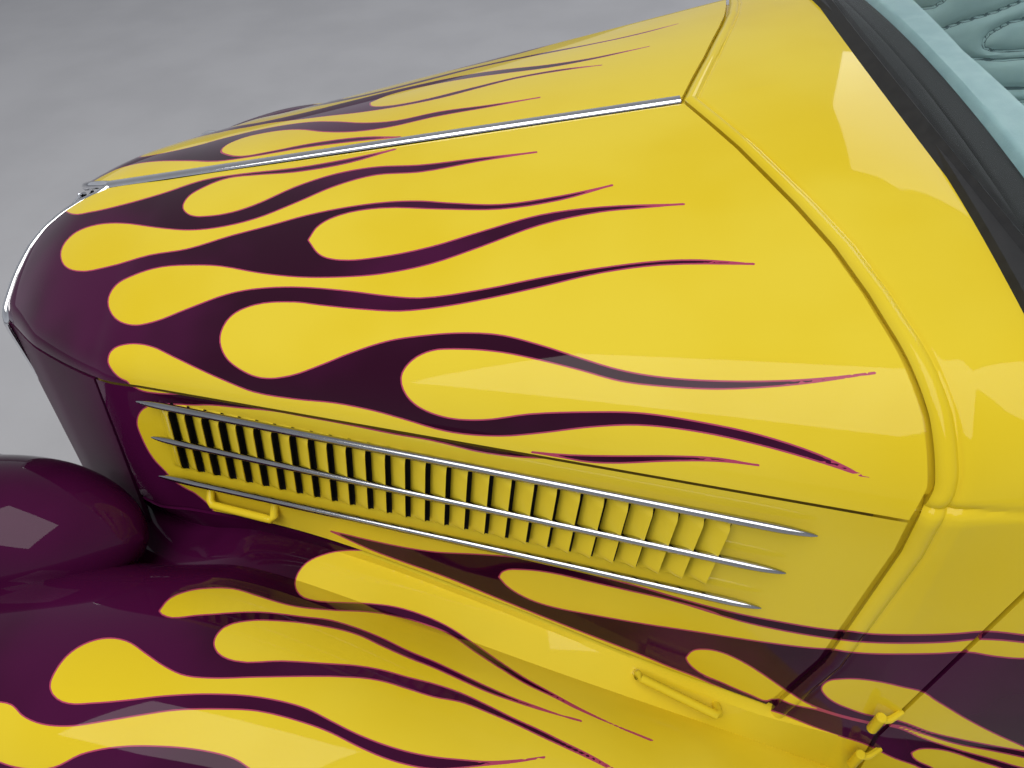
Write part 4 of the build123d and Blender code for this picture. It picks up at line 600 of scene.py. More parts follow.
finish = {
    "flames": paint("flame_paint", True),
    "yellow": paint("yellow_paint", False),
    "purple": plain("purple_paint", PURPLE, PURPLE_LIGHT, (0.2, 0.3), 0.0, 3.0, 0.00001,
                    Specular_IOR_Level=0.0, Coat_Weight=1.0, Coat_Roughness=0.035, Coat_IOR=1.27),
    "shell": plain("shell_purple", PURPLE, PURPLE_LIGHT, (0.45, 0.55), 0.0, 3.0, 0.00001,
                   Specular_IOR_Level=0.15, Coat_Weight=0.06, Coat_IOR=1.27),
    "trim": plain("stainless_trim", (0.46, 0.465, 0.48, 1), (0.38, 0.385, 0.40, 1), (0.10, 0.2), 1.0, 20.0, 0.00001),
    "seam": plain("seam_shadow", (0.24, 0.16, 0.012, 1), (0.2, 0.13, 0.01, 1), (0.8, 0.9), 0.0, 10.0, 0.0001),
    "chrome": plain("chrome_plate", (0.80, 0.81, 0.83, 1), (0.72, 0.73, 0.76, 1), (0.05, 0.12), 1.0, 20.0, 0.00001),
    "black": plain("black_paint", (0.012, 0.012, 0.013, 1), (0.02, 0.02, 0.022, 1), (0.15, 0.25), 0.0, 8.0, 0.00002,
                   Coat_Weight=0.6),
    "satin": plain("satin_black", (0.022, 0.022, 0.024, 1), (0.04, 0.038, 0.036, 1), (0.4, 0.6), 0.0, 12.0, 0.0001),
    "steel": plain("bright_steel", (0.42, 0.42, 0.43, 1), (0.3, 0.29, 0.28, 1), (0.28, 0.45), 1.0, 30.0, 0.00005),
    "cast": plain("cast_iron", (0.10, 0.10, 0.105, 1), (0.05, 0.05, 0.05, 1), (0.5, 0.7), 0.6, 25.0, 0.0004),
    "rubber": plain("black_rubber", (0.010, 0.010, 0.011, 1), (0.018, 0.018, 0.019, 1), (0.55, 0.75), 0.0, 60.0,
                    0.0001),
    "tyre": plain("tyre_rubber", (0.012, 0.012, 0.013, 1), (0.022, 0.021, 0.020, 1), (0.6, 0.8), 0.0, 40.0, 0.0002),
    "leather": plain("pale_leather", (0.36, 0.53, 0.55, 1), (0.31, 0.47, 0.50, 1), (0.4, 0.55), 0.0, 30.0, 0.0003),
    "carpet": plain("dark_carpet", (0.02, 0.024, 0.03, 1), (0.045, 0.05, 0.055, 1), (0.9, 1.0), 0.0, 200.0, 0.002),
    # Painted shade: near black for the louvre openings, standing for the shade under the flaps and inside the hood
    "louvre_shade_paint": plain("painted_louvre_shade", (0.003, 0.003, 0.003, 1), (0.006, 0.005, 0.005, 1), (0.8, 0.9), 0.0, 10.0, 0.0001),
    "lens": plain("lamp_glass", (0.9, 0.93, 0.95, 1), (0.8, 0.85, 0.88, 1), (0.04, 0.1), 0.0, 20.0, 0.00002,
                  Transmission_Weight=0.9, IOR=1.45),
    "glass": plain("clear_glass", (0.93, 0.97, 0.96, 1), (0.9, 0.95, 0.94, 1), (0.01, 0.03), 0.0, 4.0, 0.000005,
                   Transmission_Weight=1.0, IOR=1.12),
}
BY_SLOT = {
    "yellow_paint": "yellow", "dark_paint": "purple", "chrome": "chrome", "black_paint": "black",
    "running_gear": "satin", "steel": "steel", "cast_iron": "cast", "rubber": "rubber", "tyre": "tyre",
    "glass": "glass", "leather": "leather", "carpet": "carpet",
}
for row in frame["record"]["subparts"]:
    node = nodes[row["node"]]
    node.data.materials.clear()
    node.data.materials.append(finish[BY_SLOT[row["material_slot"]]])


# Hood

def hood_top_grid(along, across):
    """The left hood top as a grid from the grille's trim to the cowl and from the centre strip to the seam."""
    u = np.linspace(0, 1, along)[:, None]
    s = np.linspace(0, 1, across)[None, :]
    plan = np.array(sorted((y, x) for x, y in GRILLE_PLAN))

    def place(x):
        x = np.broadcast_to(x, np.broadcast_shapes(x.shape, s.shape)).copy()
        _, z_top, y_seam, z_seam, _, rake = row_at(HOOD_ROWS, x)
        radius = 46 + 0.52 * np.maximum(y_seam - 380, 0)
        share = s * (1 - 12 / (1.15 * y_seam)) + 12 / (1.15 * y_seam)
        y, z = crown_point(z_top, y_seam, z_seam, radius, radians(72), share)
        return y, z, rake * (z - z_seam)

    front = np.full((1, across), -100.0)
    rear = np.full((1, across), 1000.0)
    for _ in range(60):
        y, z, lean = place(front)
        front += 0.5 * (np.interp(y, plan[:, 0], plan[:, 1]) + 10 + 0.12 * (z - 850) - lean - front)
        y, z, lean = place(rear)
        rear += 0.5 * (hood_rear(y, z) - HOOD_GAP - lean - rear)
    x = front + (rear - front) * u
    y, z, lean = place(x)
    return np.stack([NOSE_X + x + lean, y, z], -1)


def hood_side_surface(x, z):
    _, _, y_seam, z_seam, slope, _ = row_at(HOOD_ROWS, x)
    return y_seam + slope * (z_seam - z)


def louvre_middle(x):
    x0, z0, x1, z1 = SIDE_STRIPS[1]
    return z0 + (z1 - z0) * (x - x0) / (x1 - x0)


# The louvre's rear lip, column by column: shift along x, share of the lift, whether it is the opening painted near
# black as painted shade
LOUVRE_LIP = [(0, 1, False), (0, 0.84, False), (-3, 0.7, True), (-3, -0.4, True), (4.0, -0.3, True)]


def hood_side_mesh():
    """The grid of the left hood side with its pressed louvres, and which of its faces are painted near black as the
    shade inside the louvre openings.
    """
    # Columns: part of the side, place in it, shift, lift, painted shade. Rows: part, place in it, share of the lift.
    columns = []
    flap = LOUVRE_PITCH - LOUVRE_SLOT
    first = LOUVRE_FIRST - flap
    for k in range(24):
        columns.append(("front", k / 24, 0, 0, False))
    for index in range(LOUVRES):
        opening = LOUVRE_FIRST + index * LOUVRE_PITCH
        for t in (0, 0.25, 0.5, 0.75, 0.93):
            columns.append(("louvre", opening - flap + t * flap, 0, t * (1.35 - 0.35 * t) * LOUVRE_LIFT, False))
        for step, (shift, lift, dark) in enumerate(LOUVRE_LIP):
            columns.append(("louvre", opening + 0.5 * step, shift - 0.5 * step, lift * LOUVRE_LIFT, dark))
    last = LOUVRE_FIRST + (LOUVRES - 1) * LOUVRE_PITCH + LOUVRE_SLOT
    for k in range(41):
        columns.append(("rear", k / 40, 0, 0, False))
    rows = []
    for k in range(30):
        rows.append(("low", k / 30, 0))
    for k in range(4):
        rows.append(("louvre", -LOUVRE_HALF + 4 * k, sin(pi / 2 * k / 3.5)))
    for k in range(1, 19):
        rows.append(("louvre", -LOUVRE_HALF + 12 + (2 * LOUVRE_HALF - 24) * k / 19, 1))
    for k in range(4):
        rows.append(("louvre", LOUVRE_HALF - 12 + 4 * k, sin(pi / 2 * (3 - k) / 3.5)))
    for k in range(1, 9):
        rows.append(("top", k / 8, 0))
    ni, nj = len(columns), len(rows)
    grid = np.zeros((ni, nj, 3))
    share = np.array([row[2] for row in rows])
    amount = np.array([row[1] for row in rows], float)
    kinds = np.array([row[0] for row in rows])
    for i, (kind, value, shift, lift, _) in enumerate(columns):
        z = np.full(nj, 800.0)
        x = np.full(nj, 500.0)
        for _ in range(12):
            start = first + LOUVRE_TILT * (z - louvre_middle(first))
            if kind == "front":
                edge = 118 - 0.09 * (894 - z)
                x = edge + (start - edge) * value
            elif kind == "louvre":
                x = value + LOUVRE_TILT * (z - louvre_middle(value))
            else:
                start = last + LOUVRE_TILT * (z - louvre_middle(last))
                y = hood_side_surface(x, z)
                x = start + (hood_rear(y, z) - HOOD_GAP - start) * value
            low = row_at(HOOD_LOW_EDGE, x)[1]
            middle = louvre_middle(x)
            top = row_at(HOOD_ROWS, x)[3] - 4
            z = np.where(kinds == "low", low + (middle - LOUVRE_HALF - low) * amount,
                         np.where(kinds == "louvre", middle + amount,
                                  middle + LOUVRE_HALF + (top - middle - LOUVRE_HALF) * amount))
        x = x + shift * share
        slope = row_at(HOOD_ROWS, x)[4]
        y = hood_side_surface(x, z)
        grow = lift * share / np.sqrt(1 + slope * slope)
        grid[i] = np.stack([NOSE_X + x, y + grow, z + grow * slope], -1)
    # Faces of the louvre throat and slot floor, painted near black as painted shade inside the openings
    dark = np.zeros((ni - 1, nj - 1), bool)
    for i in range(ni - 1):
        if columns[i + 1][4] or columns[i][4]:
            dark[i] = (share[:-1] + share[1:]) > 0.3
    return grid, dark


hood_top = hood_top_grid(181, 241)
hood_side, louvre_shade_faces = hood_side_mesh()
for side in ("left", "right"):
    points, faces = skin(hood_top, 5, 20)
    piece = make_mesh(f"hood_top_panel_{side}", points, faces, side, flame_value(points, ["hood_top"]))
    dress(piece, f"hood_top_{side}", "yellow_paint", finish["flames"])
    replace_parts(piece, f"hood_top_{side}")
    piece = sheet(f"hood_side_panel_{side}", hood_side, side, ["hood_side"])
    dress(piece, f"hood_side_{side}", "yellow_paint", finish["flames"], finish["louvre_shade_paint"])
    piece.data.polygons.foreach_set("material_index", louvre_shade_faces.ravel().astype(int).tolist())
    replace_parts(piece, f"hood_side_{side}")


# Nose shell, fenders

def shell_grid(along, down):
    u, v = np.linspace(0, 1, along)[:, None], np.linspace(0, 1, down)[None, :]
    x = np.broadcast_to(-150 + 262 * u, (along, down)).copy()
    for _ in range(10):
        _, _, y_seam, z_seam, slope, rake = row_at(HOOD_ROWS, x)
        z = z_seam - 6 - (z_seam - 6 - 430) * v
        rear = 112 - 0.09 * (894 - z)
        x = -150 + (rear + 150) * u
    y = y_seam + slope * (z_seam - z)
    return np.stack([NOSE_X + x + rake * (z - z_seam), y, z], -1)


def arc_points(crown, end, share):
    dy, dz = end[0] - crown[0], crown[1] - end[1]
    radius = (dy * dy + dz * dz) / (2 * dz)
    reach = np.arctan2(dy, radius - dz) * share
    return crown[0] + radius * np.sin(reach), crown[1] - radius + radius * np.cos(reach)


def fender_grid(rows, axle_x, along, counts):
    x = np.linspace(rows[0][0], rows[-1][0], along)[:, None]
    _, yi, zi, yv, zv, yc, zc, yl, zl = row_at(rows, x)
    flat, inward, outward = counts
    t = np.linspace(0, 1, flat, endpoint=False)[None, :]
    parts = [(yi + (yv - yi) * t, zi + (zv - zi) * t)]
    if axle_x == FRONT_AXLE_X:
        at = x + FRONT_AXLE_X - NOSE_X
        low = row_at(HOOD_LOW_EDGE, np.clip(at, 60, 1070))[1]
        under = np.clip((at - 40) / 60, 0, 1) * np.clip((1075 - at) / 30, 0, 1)
        y_edge = yi - 8 + (hood_side_surface(np.clip(at, 60, 1070), low) + 3 - yi + 8) * under
        z_edge = zi + 3 + (low - 5 - zi - 3) * under
        parts.insert(0, (np.stack([y_edge - 45, y_edge], 1)[..., 0], np.stack([z_edge - 2, z_edge], 1)[..., 0]))
    t = np.linspace(1, 0, inward, endpoint=False)[None, :]
    parts.append(arc_points((yc, zc), (yv, zv), t))
    t = np.linspace(0, 1, outward)[None, :]
    parts.append(arc_points((yc, zc), (yl, zl), t))
    y = np.concatenate([part[0] for part in parts], 1)
    z = np.concatenate([part[1] for part in parts], 1)
    return np.stack([np.broadcast_to(axle_x + x, y.shape), y, z], -1)


nose_shell = shell_grid(57, 85)
front_fender = fender_grid(FRONT_FENDER_ROWS, FRONT_AXLE_X, 221, (27, 90, 90))
for side in ("left", "right"):
    points, faces = skin(nose_shell, 6, 14)
    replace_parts(add(f"nose_shell_{side}", (points, faces), side, "chassis", "dark_paint", "shell"), "grille_shell")
    points, faces = skin(front_fender, 7, 4)
    piece = make_mesh(f"front_fender_panel_{side}", points, faces, side, flame_value(points, ["fender"]))
    dress(piece, "chassis", "yellow_paint", finish["flames"])
    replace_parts(piece, f"front_fender_{side}")


# Cowl and doors

def body_surface(x, s):
    """y and z of the body at x: s 0 to 1 runs from the centreline to the shoulder, 1 to 2 on down the side."""
    _, z_top, y_end, z_end, y_low, z_low = row_at(BODY_ROWS, x)
    radius = np.minimum(150, z_top - z_end)
    share = np.clip(s - 1, 0, 1)
    y, z = crown_point(z_top, y_end, z_end, radius, radians(78), np.clip(s, 0, 1))
    y, z = y + (y_low - y_end) * share, z + (z_low - z_end) * share
    ease = 1 - np.clip((x - hood_edge(y, z)) / 150, 0, 1)
    ease = ease * ease * (3 - 2 * ease)
    _, hood_crown, hood_y, hood_z, _, _ = row_at(HOOD_ROWS, np.clip(x - NOSE_X, 800, 1160))
    z_top = z_top + (hood_crown - z_top) * ease
    y_end = y_end + (hood_y - y_end) * ease
    z_end = z_end + (hood_z - z_end) * ease
    radius = radius + (46 + 0.52 * (hood_y - 380) - radius) * ease
    y, z = crown_point(z_top, y_end, z_end, radius, radians(78) - radians(6) * ease, np.clip(s, 0, 1))
    return y + (y_low - y_end) * share, z + (z_low - z_end) * share


def share_at_width(x, width):
    """s where the body is as wide as width."""
    low, high = np.zeros_like(x), np.ones_like(x)
    for _ in range(24):
        middle = (low + high) / 2
        inside = body_surface(x, middle)[0] < width
        low, high = np.where(inside, middle, low), np.where(inside, high, middle)
    return (low + high) / 2


def share_at_height(x, height):
    _, _, _, z_end, _, z_low = row_at(BODY_ROWS, x)
    return 1 + (z_end - height) / (z_end - z_low)


def hood_edge(y, z):
    return NOSE_X + hood_rear(y, z)


def door_line(y, z):
    return -468 + 0.1785 * np.maximum(z - 541, 0)


def cockpit_edge(y, z):
    return np.minimum(np.interp(y, (0, 456, 613.5), (-320, -297.5, -230)), -290)


def body_grid(front, rear, start, end, columns, rows, bead=0):
    """A grid on the body between two lines that are x as functions of y and z, and two limits of s at each x."""
    u, v = np.linspace(0, 1, columns)[:, None], np.linspace(0, 1, rows)[None, :]
    x = np.full((columns, rows), -480.0)
    for _ in range(40):
        s = start(x) + (end(x) - start(x)) * v
        y, z = body_surface(x, s)
        first, last = front(y, z), rear(y, z)
        wide = last - first
        if bead:
            near = bead * 1.4 * np.minimum(1, wide / 45)
            step = np.where(u < 0.3, u / 0.3 * near, near + (u - 0.3) / 0.7 * (wide - near))
        else:
            step = u * wide
        x += 0.7 * (first + step - x)
    s = start(x) + (end(x) - start(x)) * v
    y, z = body_surface(x, s)
    grid = np.stack([x, y, z], -1)
    normal = outward(grid)
    _, _, y_end, z_end, _, _ = row_at(BODY_ROWS, x)
    lift = -5.0 * np.exp(-(np.hypot(y - y_end, z - z_end) / 4.5) ** 2)
    if bead:
        scale = np.minimum(1, wide / 45)
        along = (x - front(y, z)) / (bead * scale)
        groove = 1.6 * np.exp(-((along - 1.08) / 0.13) ** 2)
        lift = lift + scale * (4.5 * np.sin(pi * np.clip(along, 0, 1)) ** 0.8 - groove)
    return grid + normal * lift[..., None]


def outward(grid):
    normal = grid_normals(grid)
    return -normal if (normal[..., 1] + normal[..., 2]).sum() < 0 else normal


def returned(grid, depth, edges):
    """The grid with its named edges turned in by depth."""
    turned = grid - outward(grid) * depth
    if "front" in edges:
        grid, turned = np.concatenate([turned[:1], grid]), np.concatenate([turned[:1], turned])
    if "rear" in edges:
        grid, turned = np.concatenate([grid, turned[-1:]]), np.concatenate([turned, turned[-1:]])
    if "high" in edges:
        grid, turned = np.concatenate([turned[:, :1], grid], 1), np.concatenate([turned[:, :1], turned], 1)
    if "low" in edges:
        grid = np.concatenate([grid, turned[:, -1:]], 1)
    return grid


def center_share(x):
    return 0 * x


def sill_share(x):
    return 0 * x + 2


# The cowl with its bead beside the hood, and the sunk ledge that the hood's rear edge rests over
COWL_BEAD, LEDGE_REACH, LEDGE_DEPTH = 18, 34, 11
cowl_main = returned(body_grid(hood_edge, door_line, center_share, sill_share, 56, 360, COWL_BEAD), 9, ("rear",))
ledge = body_grid(lambda y, z: hood_edge(y, z) - LEDGE_REACH, lambda y, z: hood_edge(y, z) + 2,
                  center_share, sill_share, 4, 360)
cowl_main = np.concatenate([ledge - outward(ledge) * LEDGE_DEPTH, cowl_main])
cowl_rear = body_grid(door_line, cockpit_edge, center_share, lambda x: share_at_width(x, 584.0), 16, 60)


def door_top(x):
    edge = np.interp(x, (-320, -297.5, -230, -50, 460, 617.5, 640), (0, 456, 613.5, 636, 636, 546, 366))
    return share_at_width(x, np.maximum(edge, 590))


door_grid = body_grid(lambda y, z: door_line(y, z) + 6, lambda y, z: 480 + 0 * y, door_top,
                      lambda x: share_at_height(x, 350), 140, 240)
door_grid = returned(door_grid, 12, ("front", "rear", "high", "low"))
for side in ("left", "right"):
    piece = sheet(f"cowl_panel_{side}", cowl_main, side, ["cowl"])
    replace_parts(dress(piece, "chassis", "yellow_paint", finish["flames"]), "cowl")
    dress(sheet(f"cowl_top_{side}", cowl_rear, side), "chassis", "yellow_paint", finish["yellow"])
    piece = sheet(f"door_panel_{side}", door_grid, side, ["door"])
    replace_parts(dress(piece, f"door_{side}", "yellow_paint", finish["flames"]), f"door_{side}")


# Bright strips, trim and handles

def pointed(path, radius, taper):
    """Radii along a path that run to a point at both ends over the length taper."""
    run = np.concatenate([[0], np.cumsum(np.linalg.norm(np.diff(path, axis=0), axis=1))])
    edge = np.minimum(np.minimum(run, run[-1] - run) / taper, 1)
    return np.maximum(radius * np.sqrt(np.maximum(1 - (1 - edge) ** 1.6, 0)), 0.5)


def side_strip(x0, z0, x1, z1):
    x = np.concatenate([x0 + 30 * np.linspace(0, 1, 8) ** 2, np.linspace(x0 + 45, x1 - 60, 60),
                        x1 - 45 * np.linspace(1, 0, 10) ** 1.5])
    z = z0 + (z1 - z0) * (x - x0) / (x1 - x0)
    slope = row_at(HOOD_ROWS, x)[4]
    y = hood_side_surface(x, z)
    lift = 12.5 / np.sqrt(1 + slope * slope)
    path = np.stack([NOSE_X + x, y + lift, z + lift * slope], -1)
    return sweep(path, pointed(path, 5.2, 45), 12)


def hood_strip_path(x):
    return 994 + (1116 - 994) / 1032 * (x - 128)


for side in ("left", "right"):
    strips = joined(*[side_strip(*row) for row in SIDE_STRIPS])
    piece = add(f"side_strip_rods_{side}", strips, side, f"hood_side_{side}", "chrome", "trim")
    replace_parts(piece, f"side_strips_{side}")

x = np.linspace(0, HOOD_LENGTH - 6, 90)
path = np.stack([NOSE_X + x, 0 * x, hood_strip_path(x) + 1], -1)
points, faces = sweep(path, 9.5, 14, (0, 0, 1))
middle = np.interp(points[:, 0], path[:, 0], path[:, 2])
points[:, 2] = middle + 0.62 * (points[:, 2] - middle)
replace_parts(add("hood_strip_bead", (points, faces), "right", "chassis", "chrome", "chrome"), "hood_strip")

edge = hood_top[0]
trim_path = edge + (-5, 0, -7)
trim_path = np.concatenate([[[NOSE_X + 6, 0, hood_strip_path(0)]], trim_path])
down = np.linspace(0, 1, 24)[1:, None]
foot = trim_path[-1] + down * (-0.12 * 420, -6, -420)
trim_path = np.concatenate([trim_path[::5], trim_path[-1:], foot])
keep = np.concatenate([[True], np.linalg.norm(np.diff(trim_path, axis=0), axis=1) > 1])
trim_path = trim_path[keep]
for side in ("left", "right"):
    trim = sweep(trim_path, 7.5, 14, (-1, 0.2, 0.3))
    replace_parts(add(f"grille_moulding_{side}", trim, side, "chassis", "chrome", "chrome"), "grille_trim")


def handle(x0, x1, surface):
    """A bar on two posts between x0 and x1 behind the nose point; surface gives a place and its outward way."""
    out = []
    for x, rise in ((x0, 0), (x0, 0.8), (x0 + 5, 1.0), (x0 + 14, 1.0), ((x0 + x1) / 2, 1.0), (x1 - 14, 1.0),
                    (x1 - 5, 1.0), (x1, 0.8), (x1, 0)):
        at, normal = surface(x)
        at = at + normal * (rise * 27 - 4)
        out.append((NOSE_X + x, at[0], at[1]))
    return sweep(out, 6.0, 12, (0.3, 0.5, 0.8))


def apron_place(x):
    _, yi, zi, yv, zv, *_ = row_at(FRONT_FENDER_ROWS, np.array(x + NOSE_X - FRONT_AXLE_X, float))
    way = np.array([yv - yi, zv - zi])
    normal = np.array([-way[1], way[0]]) / np.hypot(*way)
    return np.array([yi, zi]) + 0.2 * way, normal * np.sign(normal[1])


def side_place(x):
    return np.array([hood_side_surface(np.array(float(x)), 728.0), 728.0]), np.array([0.8, -0.6])


for side in ("left", "right"):
    add(f"hood_handle_{side}", handle(252, 358, side_place), side, f"hood_side_{side}", "yellow_paint", "yellow")
    add(f"apron_handle_{side}", handle(878, 985, apron_place), side, "chassis", "yellow_paint", "yellow")
    # Painted shade: a sheet behind the hood seam in a dark warm yellow, standing for the shaded yellow inside the
    # gap
    x, v = np.linspace(70, 1090, 60)[:, None], np.linspace(0, 1, 5)[None, :]
    z = row_at(HOOD_ROWS, x)[3] + 6 - 40 * v
    liner = np.stack([NOSE_X + x + 0 * v, hood_side_surface(x, z) - 7, z], -1)
    dress(sheet(f"seam_shade_liner_{side}", liner, side), f"hood_side_{side}", "black_paint", finish["seam"])


# Windshield rubber, dash top and the padded rim behind it

def cowl_band(name, x_front, x_rear, half, lift, columns, side, material, slot):
    u = np.linspace(0, 1, columns)[:, None]
    y = np.linspace(0, half, 70)[None, :]
    first = np.broadcast_to(x_front + 0 * y, (columns, 70))
    last = np.minimum(x_rear, cockpit_edge(y, 0) + 4)
    x = first + (last - first) * u
    share = share_at_width(x, np.broadcast_to(y, x.shape) + 0.01)
    _, z = body_surface(x, share)
    rise = lift * np.clip(np.minimum(u, 1 - u) * 10, 0, 1) ** 0.5
    grid = np.stack([x, np.broadcast_to(y, x.shape), z + rise], -1)
    return dress(sheet(name, grid, side), "chassis", slot, finish[material])


for side in ("left", "right"):
    cowl_band(f"windshield_gasket_{side}", -436.0, -398.0, 548, 9, 13, side, "rubber", "rubber")
    cowl_band(f"dash_top_{side}", -398.0, -360.0, 548, 3, 9, side, "rubber", "black_paint")
    cowl_band(f"rim_roll_{side}", -362.0, -296.0, 560, 12, 17, side, "leather", "leather")


# Inside: door pads with stitched flames, seat

HINGE_X, HINGE_HEIGHTS = -484, (500, 600)
# Stitched lines of the left door pad, as pixels of the picture
STITCHES = [
    [(850, 22), (869, 15), (883, 10), (900, 7), (917, 10), (934, 7), (944, 1), (960, -20), (1000, -60)],
    [(880, 52), (906, 43), (929, 34), (959, 23), (995, 12), (1024, 0), (1080, -22), (1160, -30)],
    [(983, 47), (984, 40), (990, 33), (1008, 23), (1030, 17), (1060, 14), (1090, 20), (1075, 34), (1050, 45),
     (1024, 50), (1008, 51.5), (990, 50), (983, 47)],
    [(890, 50), (922, 53), (946, 53), (976, 59), (1003, 60), (1024, 58), (1080, 50), (1180, 52)],
    [(880, 90), (952, 89), (1024, 88), (1120, 90), (1300, 100)],
    [(880, 116), (930, 112), (971, 108), (1024, 101), (1120, 100), (1300, 112)],
]


def stitched():
    made = Finish("stitched_leather", Specular_IOR_Level=0.4)
    value = made.node("ShaderNodeAttribute", {"attribute_name": "paint_edge"}, output=2)
    cloud = made.noise(14.0, 4.0)
    color = made.mix(cloud.between(0.3, 0.7), (0.37, 0.54, 0.56, 1), (0.32, 0.48, 0.51, 1))
    seam = (value - 3.2).size() < 0.55
    color = made.mix(seam, color, (0.09, 0.15, 0.17, 1))
    # Painted shade: a darker teal within 0.9 mm of each stitched line, where the padding dips into its groove
    color = made.mix(value < 0.9, color, (0.12, 0.2, 0.22, 1))
    grain = made.noise(420.0, 3.0)
    made.set(Base_Color=color, Roughness=0.42 + 0.12 * cloud, Normal=made.bump(grain, 0.0002))
    return made.material


def door_pad():
    """The door's inner face, padded between its stitched lines, with upright pleats below."""
    x, z = np.linspace(-425, 462, 170)[:, None], np.linspace(1, 0, 110)[None, :]
    left_x = np.maximum(x, door_line(0, 1000) + 30)
    top = np.array(body_surface(left_x[:, 0], share_at_width(left_x[:, 0], np.full(170, 592.0)))[1])[:, None] - 12
    z = 368 + (top - 368) * z
    points = np.stack([left_x + 0 * z, np.full(z.shape, -584.0), z], -1)
    flat, depth = in_picture(points.reshape(-1, 3))
    distance = np.min([line_distance(flat, line) for line in STITCHES], axis=0) * depth / FOCAL
    distance = distance.reshape(z.shape)
    pleat = np.abs((left_x + 0 * z) % 44 - 22)
    lower = z < np.interp(left_x, (-425, 462), (792, 770))
    distance = np.where(lower, np.minimum(distance, 22 - pleat + 1), distance)
    border = np.minimum(np.minimum(left_x + 425, 462 - left_x), np.minimum(top - z, z - 368))
    soft = 1 - np.exp(-distance / 9)
    height = 9 * soft * np.clip(border / 25, 0, 1) ** 0.5
    grid = np.stack([left_x + 0 * z, 586 - height, z], -1)
    return grid, distance


def pad(center, half, along, around, grooves, lean=0.0):
    """A rounded cushion, wide along y, with grooves across its upper and front faces."""
    b = np.sin(np.linspace(-pi / 2, pi / 2, along))[:, None]
    a = np.linspace(0, 2 * pi, around, endpoint=False)[None, :]
    size = np.maximum(1 - np.abs(b) ** 12, 0) ** (1 / 12)
    round_x = np.sign(np.cos(a)) * np.abs(np.cos(a)) ** 0.45
    round_z = np.sign(np.sin(a)) * np.abs(np.sin(a)) ** 0.45
    y = half[1] * b
    groove = np.exp(-(((y / grooves) % 1 - 0.5) * grooves / 7) ** 2)
    inset = 9 * groove * np.clip(1.2 - 0.25 * np.abs(y) / half[1], 0, 1)
    crown = 10 * np.cos(b * pi / 2 * 0.9)
    x = (half[0] * size - inset) * round_x
    z = (half[2] * size - inset + crown) * round_z
    grid = np.stack([center[0] + x + lean * (z + half[2]), center[1] + y + 0 * x, center[2] + z], -1)
    return capped(grid)


pad_grid, stitch = door_pad()
pad_finish = stitched()
for side in ("left", "right"):
    piece = sheet(f"door_pad_{side}", pad_grid.transpose(1, 0, 2), side, way=(0, -1, 0))
    paint_edge(piece.data, stitch.T)
    dress(piece, f"door_{side}", "leather", pad_finish)
    x = np.linspace(-300, 466, 90)
    edge = np.maximum(np.interp(x, (-320, -297.5, -230, -50, 460), (0, 456, 613.5, 636, 636)), 590)
    z = body_surface(x, share_at_width(x, edge))[1]
    roll = sweep(np.stack([x, edge - 24, z - 8], -1), pointed(np.stack([x, edge, z], -1), 25, 30), 16)
    add(f"door_roll_{side}", roll, side, f"door_{side}", "leather", "leather")
    hinges = []
    for z in HINGE_HEIGHTS:
        x = np.array(float(HINGE_X))
        y = body_surface(x, share_at_height(x, float(z)))[0] + 14
        pin = [(HINGE_X, y, z + step) for step in (-22, -20, 0, 20, 22)]
        arm = [(HINGE_X, y, z + 8), (HINGE_X + 14, y - 2, z + 8), (HINGE_X + 32, y - 12, z + 8)]
        hinges.append(sweep(pin, [5, 6.5, 6.5, 6.5, 5], 16, (1, 0, 0)))
        hinges.append(sweep(arm, [4.5, 4.5, 4], 8))
    add(f"door_hinges_{side}", joined(*hinges), side, f"door_{side}", "yellow_paint", "yellow")

# Cushions: name, node, centre, half sizes, lean. PLEAT is the distance between their grooves.
PLEAT = 98
CUSHIONS = [("seat_pad", "seat_cushion", (290, 0, 505), (228, 588, 72), 0.0),
            ("seat_back_pad", "seat_back", (575, 0, 708), (52, 556, 272), 0.16)]
for name, node, center, half, lean in CUSHIONS:
    piece = add(name, pad(center, half, 190, 40, PLEAT, lean), "right", "chassis", "leather", "leather")
    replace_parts(piece, node)


# Tyres, caps and lamps

def turned(profile, count, center, axis="y"):
    """A ring from a profile of (along, radius) points, or one profile for each angle, round y or x."""
    profile = np.array(profile, float)
    turn = np.linspace(0, 2 * pi, count, endpoint=False)
    if profile.ndim == 2:
        profile = np.broadcast_to(profile, (count, *profile.shape))
    along, radius = profile[..., 0], profile[..., 1]
    s, c = np.sin(turn)[:, None], np.cos(turn)[:, None]
    grid = np.stack([radius * s, along, radius * c] if axis == "y" else [along, radius * s, radius * c], -1) + center
    points = grid.reshape(-1, 3)
    size = profile.shape[1]
    faces = []
    for i in range(count):
        n = (i + 1) % count
        for k in range(size - 1):
            face = (i * size + k, n * size + k, n * size + k + 1, i * size + k + 1)
            faces.append(face if axis == "y" else tuple(reversed(face)))
    return points, faces


def above_fender(points):
    """The points, with those under the front fender brought up into its sheet."""
    sheet_points = front_fender.reshape(-1, 3)
    raised = points.copy()
    for point in raised:
        reach = np.hypot(sheet_points[:, 0] - point[0], sheet_points[:, 1] - point[1])
        nearest = reach.argmin()
        if reach[nearest] < 8:
            point[2] = max(point[2], sheet_points[nearest, 2] - 3)
    return raised


